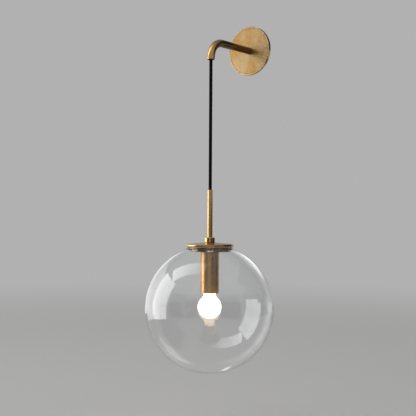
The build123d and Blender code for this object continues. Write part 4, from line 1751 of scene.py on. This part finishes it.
@dataclass
class Globe(SubAssembly):
    """The blown glass globe with its open, ground lip."""

    body: str = "globe"
    wall: float = 3 * MM
    mouth_radius: float = 41 * MM
    lip_stand: float = 1.9 * MM
    lip_round: float = 1 * MM
    arc_steps: int = 112
    segments: int = 224
    piece: bpy.types.Object | None = None

    def build(self) -> None:
        """Builds both faces of the glass from the bottom up to the lip."""
        glass = Extent.of("glass_globe")
        outer = glass.radius
        centre = glass.low.z + outer
        inner = outer - self.wall
        lip_radius = self.mouth_radius + self.wall
        neck = glass.high.z - self.lip_stand
        outer_end = math.degrees(math.atan2(neck - centre, lip_radius))
        inner_end = math.degrees(math.acos(self.mouth_radius / inner))
        lip = rounded([
            (lip_radius, neck, 0),
            (lip_radius, glass.high.z, self.lip_round),
            (self.mouth_radius, glass.high.z, self.lip_round),
            (self.mouth_radius, centre + inner * math.sin(math.radians(inner_end)), 0),
        ], steps=6)
        outline = arc((0.0, centre), outer, FOOT_ANGLE, outer_end, self.arc_steps)[:-1]
        outline += lip[:-1]
        outline += arc((0.0, centre), inner, inner_end, FOOT_ANGLE, self.arc_steps)
        outline[0] = (0.0, outline[0][1])
        outline[-1] = (0.0, outline[-1][1])
        piece = turned_piece("globe_glass", outline, CORD_GUIDE, segments=self.segments)
        self.piece = self.stand_for(piece, "clear_glass", "glass_globe")

    def dress(self) -> None:
        """Gives the globe clear glass."""
        wear(self.piece, ClearGlass("clear blown glass"))
        report(self.piece)


@dataclass
class Bulb(SubAssembly):
    """The round opal bulb with its screw cap."""

    body: str = "bulb"
    neck_radius: float = 11.75 * MM
    neck_blend: float = 8 * MM
    shoulder_round: float = 3 * MM
    glass_wall: float = 0.9 * MM
    throat_radius: float = 7.75 * MM
    ball_steps: int = 48
    blend_steps: int = 10
    shoulder_steps: int = 8
    cap_radius: float = 6.95 * MM
    cap_wall: float = 1 * MM
    cap_edge_round: float = 0.2 * MM
    cap_top_round: float = 0.5 * MM
    skirt_length: float = 3 * MM
    skirt_edge: float = 0.5 * MM
    skirt_round: float = 1 * MM
    thread_pitch: float = 2.82 * MM
    thread_depth: float = 0.62 * MM
    thread_margin: float = 0.05 * MM
    rings_each_turn: int = 10
    pieces: dict[str, bpy.types.Object] = field(default_factory=dict)

    def build(self) -> None:
        """Builds the envelope and the threaded cap."""
        self.build_envelope()
        self.build_cap()

    def envelope_side(self, inset: float, top: float, throat: float) -> Outline:
        """Follows one face of the glass from the bottom up to the cap.

        Args:
            inset: How far the face lies inside the outer one.
            top: Height of this face's shoulder.
            throat: Radius where the face ends under the cap.

        Returns:
            The face's outline.
        """
        glass = Extent.of("bulb_glass")
        centre = glass.low.z + glass.radius
        ball, neck, blend = glass.radius - inset, self.neck_radius - inset, self.neck_blend + inset
        rise = math.sqrt((ball + blend) ** 2 - (neck + blend) ** 2)
        meets = math.degrees(math.atan2(rise, neck + blend))
        shoulder = self.shoulder_round - inset
        outline = arc((0.0, centre), ball, FOOT_ANGLE, meets, self.ball_steps)
        outline[0] = (0.0, outline[0][1])
        outline += arc((neck + blend, centre + rise), blend, 180.0 + meets, 180.0, self.blend_steps)[1:]
        outline += arc((neck - shoulder, top - shoulder), shoulder, 0.0, 90.0, self.shoulder_steps)
        return outline + [(throat, top)]

    def build_envelope(self) -> None:
        """Builds the opal glass as a shell."""
        top = Extent.of("bulb_glass").high.z
        outer = self.envelope_side(0.0, top, self.throat_radius)
        inner = self.envelope_side(self.glass_wall, top - self.glass_wall, self.throat_radius)
        piece = turned_piece("bulb_envelope", outer + inner[::-1], CORD_GUIDE, segments=96)
        self.pieces["bulb_glass"] = self.stand_for(piece, "opal_glass", "bulb_glass")

    def build_cap(self) -> None:
        """Builds the screw cap with its rolled thread and flared skirt."""
        cap = Extent.of("bulb_screw_cap")
        skirt_top = cap.low.z + self.skirt_length
        inner = self.cap_radius - self.cap_wall
        outline = rounded([
            (cap.radius - self.cap_wall, cap.low.z, 0),
            (cap.radius, cap.low.z, self.cap_edge_round),
            (cap.radius, cap.low.z + self.skirt_edge, self.cap_edge_round),
            (self.cap_radius, skirt_top, self.skirt_round),
            (self.cap_radius, cap.high.z - self.cap_wall, self.cap_top_round),
            (inner, cap.high.z, self.cap_edge_round),
            (inner, skirt_top, 0),
        ])
        outline = divided(outline, self.thread_pitch / self.rings_each_turn, skirt_top, cap.high.z)
        thread = Thread(
            start=skirt_top, end=cap.high.z, pitch=self.thread_pitch, depth=-self.thread_depth,
            least_radius=self.cap_radius - self.thread_margin,
            most_radius=self.cap_radius + self.thread_margin, form=ThreadForm.ROLLED)
        piece = turned_piece("bulb_cap", outline, CORD_GUIDE, segments=72, relief=thread)
        self.pieces["bulb_screw_cap"] = self.stand_for(piece, "bulb_metal", "bulb_screw_cap")

    def dress(self) -> None:
        """Lights the envelope and finishes the cap and what is inside."""
        heart = Extent.of("bulb_filaments").middle
        wear(self.pieces["bulb_glass"], GlowingOpal("glowing opal glass", heart=heart))
        wear(self.pieces["bulb_screw_cap"], NICKEL)
        for piece in self.pieces.values():
            report(piece)
        self.dress_nodes({
            "bulb_insulator": BLACK_GLASS,
            "bulb_tip_contact": NICKEL,
            "bulb_mount": MOUNT_GLASS,
            "bulb_filaments": Phosphor("filament phosphor"),
        })


def flat_mesh(name: str, width: float, height: float) -> bpy.types.Mesh:
    """Makes a flat rectangle round the origin.

    Args:
        name: The mesh's name.
        width: Its size along X.
        height: Its size along Y.

    Returns:
        The mesh.
    """
    half_width, half_height = width / 2, height / 2
    corners = [
        (-half_width, -half_height, 0), (half_width, -half_height, 0),
        (half_width, half_height, 0), (-half_width, half_height, 0),
    ]
    mesh = bpy.data.meshes.new(name)
    mesh.from_pydata(corners, [], [(0, 1, 2, 3)])
    return mesh


@dataclass(frozen=True)
class PaleFloor(Finish):
    """A plain pale floor that fades into the backdrop's tone far from the light."""

    near: Colour = (0.74, 0.74, 0.73)
    tone: float = 0.5
    fade_start: float = 1.1
    fade_end: float = 3.6

    def wire(self, pen: NodePen, place: Socket) -> Socket:
        """Mixes a matt floor near the middle with the backdrop's own tone further out.

        Args:
            pen: The material's pen.
            place: The object coordinates.

        Returns:
            The surface shader.
        """
        away = pen.vector("LENGTH", place).outputs["Value"]
        matt = pen.add("ShaderNodeBsdfDiffuse", {"Color": self.near})
        far = pen.add("ShaderNodeEmission", {"Color": (self.tone,) * 3, "Strength": 1.0})
        share = pen.span(away, self.fade_start, self.fade_end)
        return pen.mixed(share, matt.outputs[0], far.outputs[0])


class Seen(Enum):
    """What sees a card: mirrors alone, or mirrors and also whatever looks through glass."""

    MIRRORS = "mirrors"
    GLASS = "mirrors and glass"


def heading(azimuth: float, elevation: float) -> Vector:
    """Turns an azimuth and an elevation into a direction.

    Args:
        azimuth: Degrees from straight ahead of the light, towards +X.
        elevation: Degrees above level.

    Returns:
        The unit direction.
    """
    turn, rise = math.radians(azimuth), math.radians(elevation)
    return Vector((math.sin(turn) * math.cos(rise), -math.cos(turn) * math.cos(rise), math.sin(rise)))


@dataclass(frozen=True)
class KeyLamp:
    """The large soft lamp above, which lights matt surfaces and draws the soft shadows."""

    azimuth: float = -40.0
    elevation: float = 58.0
    distance: float = 2.2
    side: float = 1.4
    radiance: float = 1.2

    def hang(self, aim: Vector) -> None:
        """Hangs the lamp round a point, turned to face it.

        Args:
            aim: The point that the lamp is aimed at.
        """
        lamp = bpy.data.lights.new("key_lamp", "AREA")
        lamp.shape = "SQUARE"
        lamp.size = self.side
        lamp.energy = self.radiance * math.pi * self.side**2
        back = heading(self.azimuth, self.elevation)
        holder = in_scene("key_lamp", lamp)
        holder.location = aim + back * self.distance
        holder.rotation_euler = (-back).to_track_quat("-Z", "Y").to_euler()
        holder.visible_camera = False
        holder.visible_glossy = False
        holder.visible_transmission = False


@dataclass(frozen=True)
class Card(Finish):
    """A bright or dark card out of the picture, which only mirrors and glass can see.

    Its tone runs from its left to its right, as the light sees it, and its edges fade out.
    """

    azimuth: float = 0.0
    elevation: float = 0.0
    distance: float = 1.5
    width: float = 1.0
    height: float = 1.0
    left_tone: float = 0.02
    right_tone: float = 0.02
    softness: float = 0.05
    roll: float = 0.0
    seen: Seen = Seen.GLASS

    def wire(self, pen: NodePen, place: Socket) -> Socket:
        """Runs the card's tone across it and fades its edges.

        Args:
            pen: The material's pen.
            place: The object coordinates.

        Returns:
            The surface shader.
        """
        spot = pen.add("ShaderNodeSeparateXYZ", {"Vector": place})
        half_width, half_height = self.width / 2, self.height / 2
        tone = pen.add("ShaderNodeMapRange", {
            "Value": spot.outputs["X"], "From Min": -half_width, "From Max": half_width,
            "To Min": self.left_tone, "To Max": self.right_tone}).outputs[0]
        shares = []
        for axis, half in (("X", half_width), ("Y", half_height)):
            off_middle = pen.maths("ABSOLUTE", spot.outputs[axis])
            shares.append(pen.span(off_middle, half * (1 - self.softness), half, 1.0, 0.0))
        clear = pen.add("ShaderNodeBsdfTransparent")
        light = pen.add("ShaderNodeEmission", {"Strength": tone})
        return pen.mixed(pen.times(*shares), clear.outputs[0], light.outputs[0])

    def stand(self, aim: Vector) -> None:
        """Stands the card at its place round a point, turned to face it.

        Args:
            aim: The point that the card faces.
        """
        back = heading(self.azimuth, self.elevation)
        card = in_scene(self.name, flat_mesh(self.name, self.width, self.height))
        card.location = aim + back * self.distance
        facing = (-back).to_track_quat("-Z", "Y") @ Quaternion((0, 0, 1), math.radians(self.roll))
        card.rotation_euler = facing.to_euler()
        card.visible_camera = False
        card.visible_diffuse = False
        card.visible_shadow = False
        card.visible_transmission = self.seen is Seen.GLASS
        wear(card, self)


@dataclass(frozen=True)
class Camera:
    """The camera at the photograph's viewing angle."""

    place: Vector = field(default_factory=lambda: Vector((0.9979, -1.4182, -0.3381)))
    turn: float = 37.97
    pitch: float = 0.45
    roll: float = 0.34
    focal_length: float = 838.0

    def make(self) -> None:
        """Makes the camera, with its focal length from picture widths to the sensor's width."""
        turn, pitch, roll = (math.radians(x) for x in (self.turn, self.pitch, self.roll))
        ahead = Vector((
            -math.sin(turn) * math.cos(pitch), math.cos(turn) * math.cos(pitch), math.sin(pitch)))
        level = Vector((math.cos(turn), math.sin(turn), 0))
        above = level.cross(ahead)
        right = level * math.cos(roll) + above * math.sin(roll)
        upward = above * math.cos(roll) - level * math.sin(roll)
        data = bpy.data.cameras.new("camera")
        data.sensor_width = SENSOR_WIDTH
        data.lens = self.focal_length / PICTURE_SIDE * SENSOR_WIDTH
        camera = in_scene("camera", data)
        turned = Matrix((right, upward, -ahead)).transposed().to_4x4()
        camera.matrix_world = Matrix.Translation(self.place) @ turned
        bpy.context.scene.camera = camera


@dataclass
class Studio:
    """The floor, the backdrop, the key lamp and the cards."""

    tone: float = 0.44
    daylight: float = 0.44
    floor_gap: float = 0.1
    floor_side: float = 60.0
    key: KeyLamp = KeyLamp()
    cards: tuple[Card, ...] = (
        Card("large_card", azimuth=-56, elevation=11.5, distance=0.9, width=0.56, height=0.88,
             left_tone=3.3, right_tone=3.3, softness=0.03),
        Card("large_far_card", azimuth=-72, elevation=10.5, distance=1.35, width=0.38, height=1.26,
             left_tone=3.3, right_tone=3.3, softness=0.03),
        Card("large_side_card", azimuth=-85, elevation=9, distance=0.95, width=0.64, height=0.82,
             left_tone=0.9, right_tone=3.7, softness=0.05, seen=Seen.MIRRORS),
        Card("upper_card", azimuth=-44, elevation=62, distance=1.2, width=1.1, height=0.48, roll=58,
             left_tone=3.8, right_tone=0.8, softness=0.04),
        Card("left_rim_card", azimuth=-117, elevation=7, distance=1.6, width=0.8, height=1.4,
             left_tone=0.9, right_tone=0.9, softness=0.5),
        Card("right_rim_card", azimuth=191, elevation=24, distance=2.2, width=1.2, height=1.1,
             left_tone=1.4, right_tone=1.4, softness=0.5),
        Card("right_strip_card", azimuth=172, elevation=-18, distance=1.6, width=0.6, height=1.3,
             left_tone=0.9, right_tone=0.9, softness=0.5, seen=Seen.MIRRORS),
        Card("foot_card", azimuth=158, elevation=-72, distance=0.196, width=0.065, height=0.03,
             left_tone=2.2, right_tone=2.2, softness=0.6, seen=Seen.MIRRORS),
        Card("arm_top_card", azimuth=180, elevation=46.75, distance=0.924, width=1.1, height=0.84,
             softness=0.6, seen=Seen.MIRRORS),
        Card("arm_side_card", azimuth=140, elevation=36, distance=1.85, width=1.6, height=1.0),
        Card("cup_right_card", azimuth=128, elevation=8, distance=0.7, width=0.94, height=0.5,
             softness=0.3),
        Card("cup_middle_card", azimuth=73, elevation=8, distance=0.7, width=0.49, height=0.5,
             softness=0.3),
        Card("cup_left_card", azimuth=-8, elevation=8, distance=0.7, width=0.7, height=0.5,
             softness=0.3),
    )

    def build_floor(self) -> None:
        """Lays a large floor below the globe."""
        floor = in_scene("floor", flat_mesh("floor", self.floor_side, self.floor_side))
        floor.location = (0, CORD_AXIS.y, CAD_BOX[0].z - self.floor_gap)
        wear(floor, PaleFloor("pale floor", tone=self.tone))

    def build_world(self) -> None:
        """Makes the backdrop's tone for sight, mirrors and glass, and even daylight for the rest."""
        world = bpy.data.worlds.new("backdrop")
        bpy.context.scene.world = world
        world.use_nodes = True
        world.node_tree.nodes.clear()
        pen = NodePen(world.node_tree)
        rays = pen.add("ShaderNodeLightPath")
        seen = rays.outputs["Is Camera Ray"]
        for kind in ("Is Glossy Ray", "Is Transmission Ray"):
            seen = pen.maths("MAXIMUM", seen, rays.outputs[kind])
        white = (1.0, 1.0, 1.0)
        daylight = pen.add("ShaderNodeBackground", {"Color": white, "Strength": self.daylight})
        backdrop = pen.add("ShaderNodeBackground", {"Color": (self.tone,) * 3, "Strength": 1.0})
        surface = pen.mixed(seen, daylight.outputs[0], backdrop.outputs[0])
        pen.add("ShaderNodeOutputWorld", {"Surface": surface})

    def build_lamps(self) -> None:
        """Hangs the key lamp and stands the cards round the globe."""
        aim = Extent.of("glass_globe").middle
        self.key.hang(aim)
        for card in self.cards:
            card.stand(aim)

    def build(self) -> None:
        """Builds the whole studio with plain view settings."""
        bpy.context.scene.view_settings.view_transform = "Standard"
        self.build_floor()
        self.build_world()
        self.build_lamps()


def main() -> None:
    """Builds the camera, the cord, the other sub-assemblies and the studio, in that order."""
    logging.basicConfig(level=logging.INFO, format="%(message)s")
    Camera().make()
    for part in (HangingCord(), WallMount(), Pendant(), Globe(), Bulb()):
        LOG.info("%s", type(part).__name__)
        part.build()
        part.dress()
    Studio().build()


if __name__ == "__main__":
    main()
